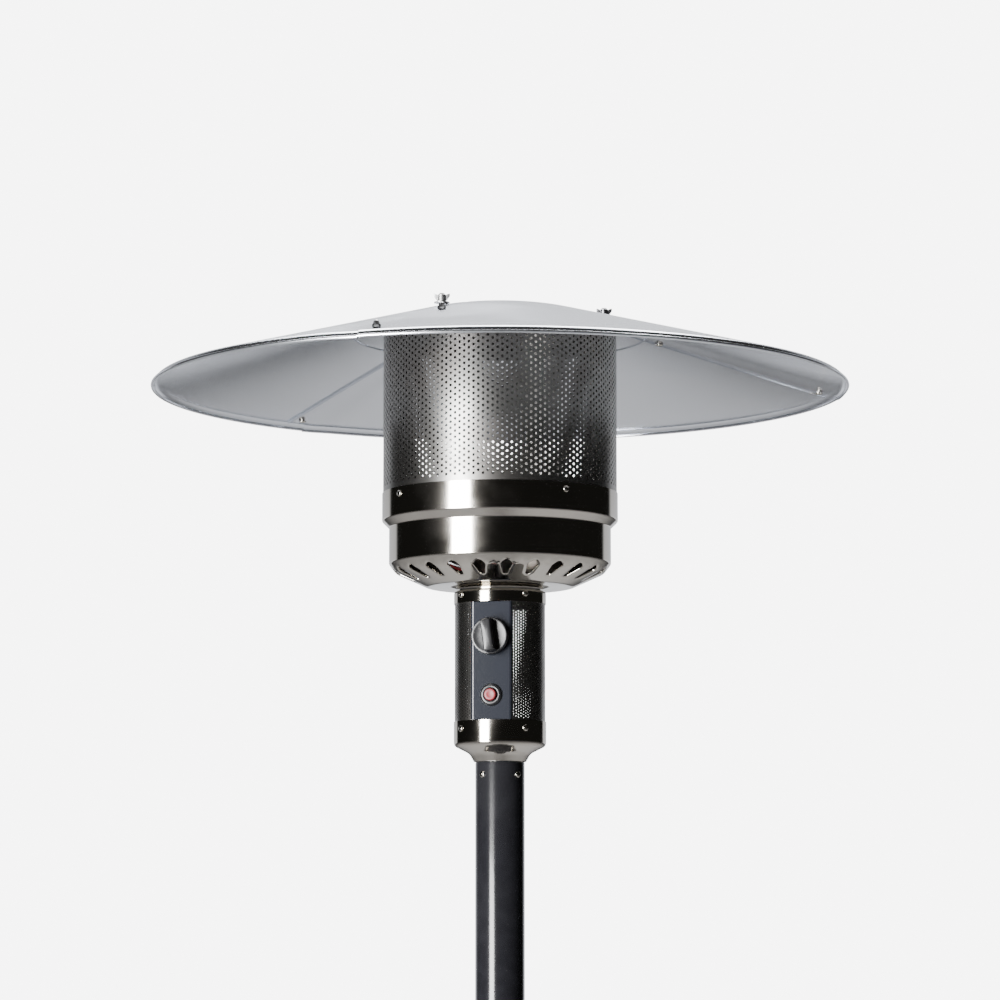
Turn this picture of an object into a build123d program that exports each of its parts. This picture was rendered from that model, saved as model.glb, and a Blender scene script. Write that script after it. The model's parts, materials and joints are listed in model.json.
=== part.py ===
from build123d import *
import os
from math import cos, radians, sin, tan

# Free-standing gas patio heater, in millimetres.
# The origin is on the ground under the middle of the post. +Z is up.
# The control panel looks towards -Y, turned a little to -X. The wheels are at +Y.

# Fits and gaps
RUNNING = 0.08          # radial play of a shaft that turns or slides in a bore
GUIDE_PLAY = 0.4        # radial play of the tank housing's bush on the post
NEST = 0.1              # radial play between nested sheet cylinders
HOLE_PLAY = 0.25        # radial play of a screw in its clearance hole

# Base pan and ballast
PAN_R = 230.0
PAN_H = 42.0
PAN_SHEET = 2.0
PAN_BEND = 8.0
PAN_FOOT = 14.0         # width of the inward hem that stands on the ground
PAN_HOLE_R = 30.0
WEIGHT_IN_R = 60.0
WEIGHT_OUT_R = 185.0
WEIGHT_T = 24.0
ANCHOR_PCD = 414.0
ANCHOR_HOLE_R = 4.5
ANCHOR_COUNT = 3

# Three pressed legs that carry the post
LEG_COUNT = 3
LEG_FIRST_ANGLE = 90.0
LEG_T = 4.0
LEG_W = 32.0
LEG_R = 168.0           # middle of the upright strip
LEG_FOOT_LENGTH = 42.0
LEG_KNEE_RISE = 578.0   # height of the knee over the pan
LEG_KNEE_DROP = 82.0    # rise from the knee to the tab on the post
LEG_TAB = 48.0
LEG_TAB_BEND = 26.0
LEG_KNEE_BEND = 70.0
LEG_FOOT_BEND = 8.0
LEG_BOLT_R = 3.0
LEG_BOLT_GAP = 16.0
FOOT_BOLT_R = 4.0

# Post
POST_R = 28.5
POST_WALL = 1.8
POST_LENGTH = 978.0
POST_EDGE = 1.2
POST_SCREW_DROP = 15.0

# Tank housing that lifts along the post
TANK_R = 186.0
TANK_SHEET = 0.9
TANK_H = 712.0
TANK_HEM_R = 2.6
LID_SHEET = 1.0
LID_SKIRT = 22.0
LID_RISE = 18.0
LID_FLAT_R = 46.0
LID_COLLAR = 20.0
LID_BEND = 6.0
BUSH_WALL = 2.6
BUSH_H = 30.0
BUSH_LIP = 4.0
LID_SCREW_R = 2.0

# Wheel kit
WHEEL_R = 60.0
WHEEL_W = 30.0
WHEEL_GROUND_GAP = 4.0
WHEEL_SETBACK = 268.0   # axle behind the post
TYRE_T = 9.0
HUB_R = 15.0
HUB_LENGTH = 34.0
SPOKE_COUNT = 5
SPOKE_W = 9.0
SPOKE_T = 12.0
AXLE_R = 5.0
AXLE_CAP_R = 9.0
AXLE_CAP_LENGTH = 9.0
BRACKET_T = 3.0
BRACKET_HALF_W = 103.0
BRACKET_REACH = 242.0
EAR_H = 40.0
EAR_TIP = 16.0
BRACKET_BOLT_X = 80.0
BRACKET_BOLT_Y = 202.0

# Neck cup between the post and the control housing
CUP_R = 53.4
CUP_SHEET = 0.9
CUP_FLARE_R = 29.6
CUP_FLARE_MID_R = 35.0
CUP_FLARE_MID_RISE = 9.5
CUP_CORNER_RISE = 18.5
CUP_TOP_RISE = 46.0
CUP_CORNER_BEND = 6.0
CUP_FLARE_BEND = 14.0
SPIGOT_WALL = 1.6
SPIGOT_DEPTH = 42.0
SPIGOT_PLATE_RISE = 23.0

# Control housing
COVER_SHEET = 0.8
COVER_LAP = 14.0        # how far the perforated cover reaches into the cup and the cap
COVER_H = 136.0         # length in view, from the cup's edge to the cap's edge
CAP_H = 15.0
CAP_BEND = 3.0
CONTROL_TURN = -12.0    # the panel's direction, degrees from -Y about +Z
HOUSING_SCREW_TURN = 33.0
HOUSING_SCREW_R = 2.2
HOUSING_SCREW_HEAD_R = 3.8
HOUSING_SCREW_HEAD = 1.8
SCREW_COUNT = 4
COVER_HOLE_R = 1.6
COVER_HOLE_PITCH = 8.0
COVER_HOLE_ROWS = 12
COVER_SIDE_FIRST = 58.0
COVER_SIDE_STEP = 11.0
COVER_SIDE_COLUMNS = 4

# Control panel, knob and igniter
PANEL_W = 48.0
PANEL_SHEET = 1.2
PANEL_FLANGE = 9.0
PANEL_CORNER = 3.0
PANEL_DEPTH = 48.6      # the panel's face in front of the post's axis
PANEL_GAP = 0.5
KNOB_HEIGHT_IN_PANEL = 95.0
BUTTON_HEIGHT_IN_PANEL = 28.0
KNOB_TRAVEL = 4.0
KNOB_CLEAR = 1.0
KNOB_R = 21.5
KNOB_SKIRT = 6.0
KNOB_GRIP_W = 15.0
KNOB_GRIP_H = 15.0
KNOB_TURNED = 8.0
KNOB_TAPER = 5.0
STEM_R = 4.0
STEM_IN_KNOB = 13.0
STEM_IN_VALVE = 16.0
PUSH_ROD_R = 2.4
PUSH_ROD_LENGTH = 8.0
BEZEL_R = 13.0
BEZEL_T = 3.5
BARREL_R = 9.8
BARREL_LENGTH = 46.0
BUTTON_R = 7.0
BUTTON_PROUD = 8.0
BUTTON_LENGTH = 22.0
BUTTON_TRAVEL = 5.0
BARREL_NUT_R = 13.5
BARREL_NUT_T = 4.0

# Gas valve and gas ways
VALVE_R = 15.0
VALVE_LENGTH = 30.0
VALVE_BOSS_R = 9.0
VALVE_BOSS_BACK = 17.0  # from the panel's back to the upright gas way
VALVE_BOSS_HALF_H = 25.0
VALVE_EAR_X = 15.0
VALVE_EAR_R = 5.0
VALVE_EAR_T = 3.0
VALVE_SCREW_R = 1.9
SIDE_PORT_R = 4.5
SIDE_PORT_REACH = 20.0
INLET_HEX = 17.0
INLET_HEX_H = 8.0
INLET_NIPPLE_R = 7.5
INLET_NIPPLE_H = 15.0
INLET_BORE_R = 3.0
BURNER_PIPE_R = 4.0
BURNER_PIPE_BEND = 10.0
PILOT_TUBE_R = 2.0
THERMO_R = 1.6
LEAD_R = 2.5
LINE_BEND = 8.0
TILT_W = 24.0
TILT_D = 18.0
TILT_H = 30.0
TILT_BACK = 27.0

# Burner inside the bowl
JET_R = 8.0
JET_H = 12.0
STAND_R = 21.0
STAND_WALL = 1.6
STAND_H = 30.0
STAND_WINDOW_H = 16.0
VENTURI_R = 15.0
VENTURI_WALL = 1.2
VENTURI_H = 46.0
BURNER_R = 62.0
BURNER_H = 22.0
BURNER_SHEET = 1.2
BURNER_PORT_R = 3.0
BURNER_PORTS = 18
BURNER_PORT_RING = 48.0
PILOT_REACH = 76.0
PILOT_PLATE_T = 1.5
HOOD_R = 6.0
HOOD_H = 22.0

# Burner bowl with its ring of air slots
COLLAR_R = 58.0
COLLAR_H = 5.0
BOWL_SHEET = 0.9
BOWL_HOLE_R = 46.0
BOWL_FLAT_R = 85.0
BOWL_KNEE_R = 121.0
BOWL_KNEE_RISE = 17.0
BOWL_LOW_R = 129.0
BOWL_LOW_RISE = 27.0
BOWL_BAND_H = 42.0
BOWL_STEP_H = 8.0
BOWL_TOP_R = 137.2
BOWL_TOP_H = 32.0
BOWL_BENDS = (14.0, 9.0, 4.0, 3.0, 3.0)
SLOT_COUNT = 24
SLOT_IN_R = 97.0
SLOT_OUT_R = 124.0
SLOT_IN_W = 7.5
SLOT_OUT_W = 13.5
VENT_COUNT = 12
VENT_RING_R = 72.0
VENT_R = 2.6

# Emitter screen
SCREEN_SHEET = 0.8
SCREEN_LAP = 14.0
SCREEN_H = 207.0
SCREEN_STRIPS = 15
SCREEN_STRIP_COLUMNS = 2
SCREEN_ROWS = 8
SCREEN_HOLE_R = 5.5
SCREEN_ROW_PITCH = 21.0
SCREEN_FIRST_ROW = 32.0
PLATE_LIP = 10.0

# Reflector in three overlapping sectors
REFLECTOR_R = 406.5
DOME_SHEET = 0.9
DOME_SLOPE = 15.2
CROWN_R = 80.0
CROWN_BEND = 160.0
CONE_OUT_R = 401.0
LIP_DROP = 8.1
LIP_BEND = 4.0
BEAD_R = 2.0
CENTRE_HOLE_R = 24.0
CENTRE_DISC_R = 173.0
SECTOR_COUNT = 3
SEAM_TURN = -22.0       # first seam, degrees from -Y towards +X
LAP_ARC = 4.0           # degrees that a sector reaches under its neighbour
RISER_ARC = 0.5
SEAM_GAP = 0.05
SEAM_SCREW_RINGS = (191.0, 385.0)
SEAM_SCREW_R = 2.5
CAP_NUT_R = 4.6
CAP_NUT_H = 7.5
STUD_RING_R = 122.0
STUD_TURN = -33.0
STUD_R = 3.0
STUD_TOP = 14.0
STUD_SPACER_R = 6.0
WASHER_R = 9.0
WASHER_T = 1.2
WING_HUB_R = 5.5
WING_HUB_H = 6.0
WING_SPAN = 13.0
WING_RISE = 9.0
WING_T = 2.0

# Heights that follow from the pieces
PAN_TOP = PAN_H
LEG_KNEE_Z = PAN_TOP + LEG_KNEE_RISE
LEG_NECK_Z = LEG_KNEE_Z + LEG_KNEE_DROP
LEG_TOP_Z = LEG_NECK_Z + LEG_TAB
TAB_R = POST_R + LEG_T / 2
POST_BOTTOM = LEG_NECK_Z
POST_TOP = POST_BOTTOM + POST_LENGTH
TANK_TOP = PAN_TOP + TANK_H
LID_TOP = TANK_TOP + LID_RISE
SPIGOT_R = POST_R - POST_WALL - NEST
CUP_TOP = POST_TOP + CUP_TOP_RISE
SPIGOT_PLATE_Z = POST_TOP + SPIGOT_PLATE_RISE
CUP_IN_R = CUP_R - CUP_SHEET
COVER_R = CUP_IN_R - NEST
CAP_BOTTOM = CUP_TOP + COVER_H
CAP_TOP = CAP_BOTTOM + CAP_H
PANEL_BOTTOM = CUP_TOP + PANEL_GAP
PANEL_TOP = CAP_BOTTOM - PANEL_GAP
PANEL_BACK = PANEL_DEPTH - PANEL_SHEET
KNOB_Z = PANEL_BOTTOM + KNOB_HEIGHT_IN_PANEL
BUTTON_Z = PANEL_BOTTOM + BUTTON_HEIGHT_IN_PANEL
KNOB_BACK = PANEL_DEPTH + KNOB_TRAVEL + KNOB_CLEAR
BOWL_BOTTOM = CAP_TOP + COLLAR_H
BOWL_KNEE_Z = BOWL_BOTTOM + BOWL_KNEE_RISE
BOWL_LOW_Z = BOWL_BOTTOM + BOWL_LOW_RISE
BOWL_STEP_Z = BOWL_LOW_Z + BOWL_BAND_H
BOWL_SHOULDER_Z = BOWL_STEP_Z + BOWL_STEP_H
BOWL_TOP = BOWL_SHOULDER_Z + BOWL_TOP_H
SCREEN_R = BOWL_TOP_R - BOWL_SHEET - NEST
SCREEN_BOTTOM = BOWL_TOP - SCREEN_LAP
SCREEN_TOP = SCREEN_BOTTOM + SCREEN_H
SLOPE = tan(radians(DOME_SLOPE))
STUD_SPACER_H = 10.0
CENTRE_DISC_AT_STUD = SCREEN_TOP + STUD_SPACER_H
CROWN_Z = CENTRE_DISC_AT_STUD + DOME_SHEET + (STUD_RING_R - CROWN_R) * SLOPE + DOME_SHEET / 2
CONE_OUT_Z = CROWN_Z - (CONE_OUT_R - CROWN_R) * SLOPE
RIM_Z = CONE_OUT_Z - LIP_DROP


def sheet(points, thickness, bends):
    """A bent sheet section: points are (radius, height) along its middle."""
    path = FilletPolyline(*points, radius=bends)
    return Plane.XZ * trace(path, thickness)


def turned(points, arc=360.0):
    """A solid of revolution from a closed outline of (radius, height) points."""
    outline = make_face(Polyline(*points, close=True))
    return revolve(Plane.XZ * outline, Axis.Z, arc)


def ring(outer, inner, bottom, top):
    return turned([(inner, bottom), (outer, bottom), (outer, top), (inner, top)])


def rod(radius, bottom, top):
    return Pos(0, 0, (bottom + top) / 2) * Cylinder(radius, top - bottom)


def round_about(shape, count, first=0.0):
    """Copies of a shape, evenly spaced about the post's axis."""
    return [Rot(0, 0, first + 360.0 * i / count) * shape for i in range(count)]


def facing(azimuth, radius, height):
    """Outward axes on a cylinder: local Z points away from the post's axis.
    The azimuth counts in degrees from -Y towards +X."""
    a = radians(azimuth)
    out = (sin(a), -cos(a), 0)
    return Plane(origin=(radius * out[0], radius * out[1], height), x_dir=(0, 0, 1), z_dir=out)


def pan_head_screw(shank_r, head_r, head_h, length):
    """Screw along local -Z with its head on top of local z = 0."""
    edge = head_h * 0.45
    outline = [(0, -length), (shank_r, -length), (shank_r, 0), (head_r, 0), (head_r, edge)]
    return turned(outline + [(head_r * 0.55, head_h), (0, head_h)])


def hex_bolt(shank_r, across_flats, head_h, length):
    head = extrude(RegularPolygon(across_flats / 2, 6, major_radius=False), head_h)
    return head + Pos(0, 0, -length / 2) * Cylinder(shank_r, length)


def acorn_nut(radius, height):
    """Cap nut: a hexagon with a domed top."""
    hex_h = height * 0.45
    hexagon = extrude(RegularPolygon(radius * 0.95, 6, major_radius=False), hex_h)
    top_r = radius * 0.85
    mid = hex_h + (height - hex_h) * 0.6
    dome = turned([(0, hex_h), (top_r, hex_h), (top_r * 0.8, mid), (top_r * 0.35, height), (0, height)])
    return hexagon + dome


def bent_tube(points, radius, bend):
    path = FilletPolyline(*points, radius=bend)
    start = Plane(origin=path @ 0, z_dir=path % 0)
    return sweep(start * Circle(radius), path=path)


def control_side(shape):
    """Turns a shape made facing -Y to the control panel's direction."""
    return Rot(0, 0, CONTROL_TURN) * shape


# Base

def leg_bolt_places():
    return [LEG_FIRST_ANGLE + 360.0 * i / LEG_COUNT for i in range(LEG_COUNT)]


FOOT_BOLT_RING = LEG_R - LEG_FOOT_LENGTH / 2


def base_pan():
    half = PAN_SHEET / 2
    wall_r = PAN_R - half
    top = PAN_TOP - half
    points = [(PAN_HOLE_R, top), (wall_r, top), (wall_r, half), (wall_r - PAN_FOOT, half)]
    pan = revolve(sheet(points, PAN_SHEET, [PAN_BEND, PAN_SHEET * 1.5]), Axis.Z)
    foot_hole = Pos(FOOT_BOLT_RING, 0, PAN_TOP) * Cylinder(FOOT_BOLT_R + HOLE_PLAY, PAN_H / 2)
    for turn in leg_bolt_places():
        pan -= Rot(0, 0, turn) * foot_hole
    for i in range(ANCHOR_COUNT):
        turn = LEG_FIRST_ANGLE + 180.0 / LEG_COUNT + 360.0 * i / ANCHOR_COUNT
        pan -= Rot(0, 0, turn) * Pos(ANCHOR_PCD / 2, 0, PAN_TOP) * Cylinder(ANCHOR_HOLE_R, PAN_H / 2)
    for x in (-BRACKET_BOLT_X, BRACKET_BOLT_X):
        pan -= Pos(x, BRACKET_BOLT_Y, PAN_TOP) * Cylinder(LEG_BOLT_R + HOLE_PLAY, PAN_H / 2)
    return pan


def base_weight():
    top = PAN_TOP - PAN_SHEET
    weight = ring(WEIGHT_OUT_R, WEIGHT_IN_R, top - WEIGHT_T, top)
    foot_hole = Pos(FOOT_BOLT_RING, 0, top) * Cylinder(FOOT_BOLT_R + HOLE_PLAY, WEIGHT_T * 1.6)
    for turn in leg_bolt_places():
        weight -= Rot(0, 0, turn) * foot_hole
    return weight


def leg_strip():
    """One pressed strip: a foot on the pan, an upright, a slope and a tab on the post."""
    foot_z = PAN_TOP + LEG_T / 2
    foot = (LEG_R - LEG_FOOT_LENGTH, foot_z)
    points = [foot, (LEG_R, foot_z), (LEG_R, LEG_KNEE_Z), (TAB_R, LEG_NECK_Z), (TAB_R, LEG_TOP_Z)]
    side = sheet(points, LEG_T, [LEG_FOOT_BEND, LEG_KNEE_BEND, LEG_TAB_BEND])
    strip = extrude(side, LEG_W / 2, both=True)
    strip -= Pos(FOOT_BOLT_RING, 0, PAN_TOP) * Cylinder(FOOT_BOLT_R + HOLE_PLAY, LEG_T * 4)
    for z in leg_bolt_heights():
        strip -= Pos(TAB_R, 0, z) * Rot(0, 90, 0) * Cylinder(LEG_BOLT_R + HOLE_PLAY, LEG_T * 3)
    return strip


def leg_bolt_heights():
    top = LEG_TOP_Z - LEG_BOLT_R * 3
    return [top - LEG_BOLT_GAP, top]


def foot_bolts():
    length = LEG_T + PAN_SHEET + WEIGHT_T * 0.75
    bolt = Pos(FOOT_BOLT_RING, 0, PAN_TOP + LEG_T) * hex_bolt(FOOT_BOLT_R, FOOT_BOLT_R * 3.2, 5.0, length)
    return Compound(round_about(bolt, LEG_COUNT, LEG_FIRST_ANGLE))


def frame_bolts():
    """The like bolts of the legs' tabs and of the axle bracket."""
    bolt = hex_bolt(LEG_BOLT_R, LEG_BOLT_R * 3.3, 4.0, LEG_T + POST_WALL + 5.0)
    bolts = []
    for z in leg_bolt_heights():
        placed = Pos(TAB_R + LEG_T / 2, 0, z) * Rot(0, 90, 0) * bolt
        bolts += round_about(placed, LEG_COUNT, LEG_FIRST_ANGLE)
    for x in (-BRACKET_BOLT_X, BRACKET_BOLT_X):
        bolts.append(Pos(x, BRACKET_BOLT_Y, PAN_TOP + BRACKET_T) * bolt)
    return Compound(bolts)


def post():
    tube = ring(POST_R, POST_R - POST_WALL, POST_BOTTOM, POST_TOP)
    top_edges = tube.edges().filter_by(GeomType.CIRCLE).group_by(Axis.Z)[-1]
    tube = fillet(top_edges.sort_by(SortBy.RADIUS)[-1], POST_EDGE)
    bolt_hole = Rot(0, 90, 0) * Cylinder(LEG_BOLT_R + HOLE_PLAY, POST_R)
    screw_hole = Cylinder(HOUSING_SCREW_R + HOLE_PLAY, POST_R)
    for turn in leg_bolt_places():
        for z in leg_bolt_heights():
            tube -= Rot(0, 0, turn) * Pos(POST_R, 0, z) * bolt_hole
    for azimuth in post_screw_azimuths():
        tube -= facing(azimuth, POST_R, POST_TOP - POST_SCREW_DROP) * screw_hole
    return tube


def post_screw_azimuths():
    return [45.0 + 90.0 * i for i in range(SCREW_COUNT)]


# Wheel kit

WHEEL_Z = WHEEL_GROUND_GAP + WHEEL_R
WHEEL_X = BRACKET_HALF_W + 2.0 + HUB_LENGTH / 2


def axle_bracket():
    """Plate on the back of the pan with two ears for the axle."""
    bottom = PAN_TOP
    back = BRACKET_REACH
    plate = Pos(0, back / 2, bottom + BRACKET_T / 2) * Box(2 * BRACKET_HALF_W, back, BRACKET_T)
    plate -= rod(TANK_R + 2 * TANK_HEM_R + 1.0, bottom - 1, bottom + 2 * BRACKET_T)
    kept = 2 * (back - BRACKET_BOLT_Y) + 36
    plate = plate & Pos(0, back, bottom) * Box(2 * BRACKET_HALF_W, kept, 4 * BRACKET_T)
    for x in (-BRACKET_BOLT_X, BRACKET_BOLT_X):
        plate -= Pos(x, BRACKET_BOLT_Y, bottom) * Cylinder(LEG_BOLT_R + HOLE_PLAY, BRACKET_T * 4)
    front = BRACKET_BOLT_Y
    tip = WHEEL_SETBACK + EAR_TIP
    outline = Polyline(
        (front, bottom), (back, bottom), (WHEEL_SETBACK, bottom), (tip, WHEEL_Z),
        (WHEEL_SETBACK, bottom + EAR_H), (front, bottom + 3 * BRACKET_T), close=True)
    ear_face = Plane.YZ * make_face(outline)
    ear_hole = Pos(0, WHEEL_SETBACK, WHEEL_Z) * Rot(0, 90, 0) * Cylinder(AXLE_R + 0.02, 3 * BRACKET_HALF_W)
    for x in (-BRACKET_HALF_W, BRACKET_HALF_W - BRACKET_T):
        plate += Pos(x, 0, 0) * extrude(ear_face, BRACKET_T)
    return plate - ear_hole


def on_axle(shape, x=0.0):
    """Places a shape made about local Z on the axle, at x along it."""
    return Pos(x, WHEEL_SETBACK, WHEEL_Z) * Rot(0, 90, 0) * shape


AXLE_HALF = WHEEL_X + HUB_LENGTH / 2 + 2.0 + AXLE_CAP_LENGTH


def wheel_axle():
    return on_axle(Cylinder(AXLE_R, 2 * (AXLE_HALF - 1.5)))


def axle_caps():
    cap = rod(AXLE_CAP_R, 0, AXLE_CAP_LENGTH) - rod(AXLE_R + 0.02, -1, AXLE_CAP_LENGTH - 1.5)
    start = AXLE_HALF - AXLE_CAP_LENGTH
    return Compound([on_axle(cap, start), on_axle(Rot(180, 0, 0) * cap, -start)])


def wheel_hub(x):
    """Moulded wheel body: a hub and a rim joined by flat spokes."""
    rim_r = WHEEL_R - TYRE_T
    half = WHEEL_W / 2
    hub = ring(HUB_R, AXLE_R + RUNNING, -HUB_LENGTH / 2, HUB_LENGTH / 2)
    rim = ring(rim_r, rim_r - 5.0, -half, half)
    body = hub + rim
    reach = (HUB_R + rim_r) / 2 - 2.0
    spoke = Pos(reach, 0, 0) * Box(rim_r - HUB_R, SPOKE_W, SPOKE_T)
    for arm in round_about(spoke, SPOKE_COUNT):
        body += arm
    return on_axle(body, x)


def wheel_tyre(x):
    """Solid tyre with rounded shoulders, seated on the rim."""
    seat = WHEEL_R - TYRE_T
    half = WHEEL_W / 2
    edge = TYRE_T * 0.45
    outline = [(seat, -half), (WHEEL_R - edge, -half), (WHEEL_R, edge - half), (WHEEL_R, half - edge)]
    return on_axle(turned(outline + [(WHEEL_R - edge, half), (seat, half)]), x)


# Tank housing

LID_SKIRT_R = TANK_R + NEST + LID_SHEET / 2
BUSH_IN_R = POST_R + GUIDE_PLAY
BUSH_R = BUSH_IN_R + BUSH_WALL


def tank_shell():
    wall = ring(TANK_R, TANK_R - TANK_SHEET, PAN_TOP, TANK_TOP - LID_BEND - LID_SHEET)
    hem = turned_circle(TANK_R, PAN_TOP + TANK_HEM_R, TANK_HEM_R)
    inside = rod(TANK_R - TANK_SHEET, PAN_TOP - 1, PAN_TOP + 4 * TANK_HEM_R)
    shell = wall + (hem - inside)
    for azimuth in lid_screw_azimuths():
        shell -= facing(azimuth, TANK_R, lid_screw_z()) * Cylinder(LID_SCREW_R + HOLE_PLAY, 20)
    return shell


def turned_circle(radius, height, section_r):
    """A wire ring with a twelve-sided section."""
    section = RegularPolygon(section_r, 12)
    return revolve(Plane.XZ * Pos(radius, height) * section, Axis.Z)


def lid_screw_azimuths():
    return [60.0 + 120.0 * i for i in range(3)]


def lid_screw_z():
    return TANK_TOP - LID_SKIRT * 0.68


def tank_lid():
    collar_r = BUSH_R + NEST + LID_SHEET / 2
    points = [
        (LID_SKIRT_R, TANK_TOP - LID_SKIRT), (LID_SKIRT_R, TANK_TOP + LID_SHEET), (LID_FLAT_R, LID_TOP),
        (collar_r, LID_TOP), (collar_r, LID_TOP + LID_COLLAR)]
    lid = revolve(sheet(points, LID_SHEET, [LID_BEND, LID_BEND, LID_SHEET * 2]), Axis.Z)
    for azimuth in lid_screw_azimuths():
        lid -= facing(azimuth, LID_SKIRT_R, lid_screw_z()) * Cylinder(LID_SCREW_R + HOLE_PLAY, 10)
    return lid


def tank_bush():
    """Plastic bush in the lid's collar, running on the post."""
    top = LID_TOP + LID_COLLAR
    bottom = top - BUSH_H
    lip = top + 3.0
    outer = BUSH_R + BUSH_LIP
    return turned([
        (BUSH_IN_R, bottom), (BUSH_R, bottom), (BUSH_R, top), (outer, top), (outer, lip), (BUSH_IN_R, lip)])


def lid_screws():
    screw = pan_head_screw(LID_SCREW_R, LID_SCREW_R * 1.9, LID_SCREW_R * 0.8, 6.0)
    outside = LID_SKIRT_R + LID_SHEET / 2
    return Compound([facing(a, outside, lid_screw_z()) * screw for a in lid_screw_azimuths()])


# Neck and control housing

def housing_screw_azimuths():
    return [HOUSING_SCREW_TURN + 90.0 * i for i in range(SCREW_COUNT)]


CUP_SCREW_Z = CUP_TOP - COVER_LAP * 0.65
CAP_SCREW_Z = CAP_BOTTOM + CAP_H * 0.62


def neck_spigot():
    """Tube inside the post's top with the floor plate of the control housing."""
    half = SPIGOT_WALL / 2
    points = [
        (SPIGOT_R - half, POST_TOP - SPIGOT_DEPTH), (SPIGOT_R - half, SPIGOT_PLATE_Z),
        (CUP_IN_R - 2 * COVER_SHEET - NEST, SPIGOT_PLATE_Z)]
    tube = revolve(sheet(points, SPIGOT_WALL, [SPIGOT_WALL * 1.5]), Axis.Z)
    hole = Cylinder(HOUSING_SCREW_R + HOLE_PLAY, SPIGOT_R)
    for azimuth in post_screw_azimuths():
        tube -= facing(azimuth, SPIGOT_R, POST_TOP - POST_SCREW_DROP) * hole
    return tube


def neck_cup():
    """Flared cup that covers the joint of post and control housing."""
    wall_r = CUP_R - CUP_SHEET / 2
    points = [
        (CUP_FLARE_R, POST_TOP), (CUP_FLARE_MID_R, POST_TOP + CUP_FLARE_MID_RISE),
        (wall_r, POST_TOP + CUP_CORNER_RISE), (wall_r, CUP_TOP)]
    cup = revolve(sheet(points, CUP_SHEET, [CUP_FLARE_BEND, CUP_CORNER_BEND]), Axis.Z)
    cup = split(cup, Plane.XY.offset(POST_TOP), keep=Keep.TOP)
    for azimuth in housing_screw_azimuths():
        cup -= facing(azimuth, CUP_R, CUP_SCREW_Z) * Cylinder(HOUSING_SCREW_R + HOLE_PLAY, 12)
    return cup


def cover_holes(bottom):
    """A field of round holes on each side of the panel, every other column raised by half a pitch."""
    cutters = []
    for side in (-1, 1):
        for column in range(COVER_SIDE_COLUMNS):
            azimuth = CONTROL_TURN + side * (COVER_SIDE_FIRST + column * COVER_SIDE_STEP)
            raised = COVER_HOLE_PITCH / 2 if column % 2 else 0.0
            for row in range(COVER_HOLE_ROWS):
                z = bottom + raised + row * COVER_HOLE_PITCH
                hexagon = extrude(RegularPolygon(COVER_HOLE_R, 6), 3 * COVER_SHEET, both=True)
                cutters.append(facing(azimuth, COVER_R - COVER_SHEET / 2, z) * hexagon)
    return cutters


def housing_cover():
    """Wrapped sheet with round vent holes, open in front for the panel."""
    cover = ring(COVER_R, COVER_R - COVER_SHEET, CUP_TOP - COVER_LAP, CAP_BOTTOM + COVER_LAP - CAP_BEND)
    middle = (CUP_TOP + CAP_BOTTOM) / 2
    window = Pos(0, -COVER_R, middle) * Box(PANEL_W + 2 * NEST, COVER_R, COVER_H)
    cover -= control_side(window)
    for azimuth in housing_screw_azimuths():
        for z in (CUP_SCREW_Z, CAP_SCREW_Z):
            cover -= facing(azimuth, COVER_R, z) * Cylinder(HOUSING_SCREW_R + HOLE_PLAY, 12)
    used = (COVER_HOLE_ROWS - 0.5) * COVER_HOLE_PITCH
    return cover - cover_holes(middle - used / 2)


def line_holes():
    """Where the gas pipe, the pilot tube, the thermocouple and the lead pass the cap."""
    return [
        (0.0, 0.0, BURNER_PIPE_R), (RISER_X, PILOT_Y, PILOT_TUBE_R), (RISER_X, THERMO_Y, THERMO_R),
        (LEAD_X, LEAD_Y, LEAD_R)]


def housing_cap():
    wall_r = CUP_R - CUP_SHEET / 2
    top = CAP_TOP - CUP_SHEET / 2
    points = [(0.0, top), (wall_r, top), (wall_r, CAP_BOTTOM)]
    cap = revolve(sheet(points, CUP_SHEET, [CAP_BEND]), Axis.Z)
    for azimuth in housing_screw_azimuths():
        cap -= facing(azimuth, CUP_R, CAP_SCREW_Z) * Cylinder(HOUSING_SCREW_R + HOLE_PLAY, 12)
    for x, y, radius in line_holes():
        cap -= control_side(Pos(x, y, CAP_TOP) * Cylinder(radius + HOLE_PLAY, 8))
    return cap


def forward(shape, depth, z):
    """Places a shape made about local Z so that local Z points out of the panel."""
    return Plane(origin=(0, -depth, z), x_dir=(1, 0, 0), z_dir=(0, -1, 0)) * shape


def front_rounded(width, height, radius):
    """A block as deep as the panel's flanges, its two front edges rounded."""
    block = Box(width, PANEL_FLANGE, height)
    return fillet(block.edges().filter_by(Axis.Z).group_by(Axis.Y)[0], radius)


def control_panel():
    """Flat plate with side flanges, and holes for the stem, the igniter and the valve's screws."""
    height = PANEL_TOP - PANEL_BOTTOM
    middle = (PANEL_TOP + PANEL_BOTTOM) / 2
    centre = Pos(0, -PANEL_DEPTH + PANEL_FLANGE / 2, middle)
    tray = centre * front_rounded(PANEL_W, height, PANEL_CORNER)
    tray -= Pos(0, PANEL_SHEET, 0) * centre * front_rounded(
        PANEL_W - 2 * PANEL_SHEET, height + 2, PANEL_CORNER - PANEL_SHEET)
    tray -= forward(Cylinder(STEM_R + 2.5, 10), PANEL_DEPTH, KNOB_Z)
    tray -= forward(Cylinder(BARREL_R + HOLE_PLAY, 10), PANEL_DEPTH, BUTTON_Z)
    for x in (-VALVE_EAR_X, VALVE_EAR_X):
        tray -= Pos(x, 0, 0) * forward(Cylinder(VALVE_SCREW_R + HOLE_PLAY, 10), PANEL_DEPTH, KNOB_Z)
    return control_side(tray)


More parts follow.
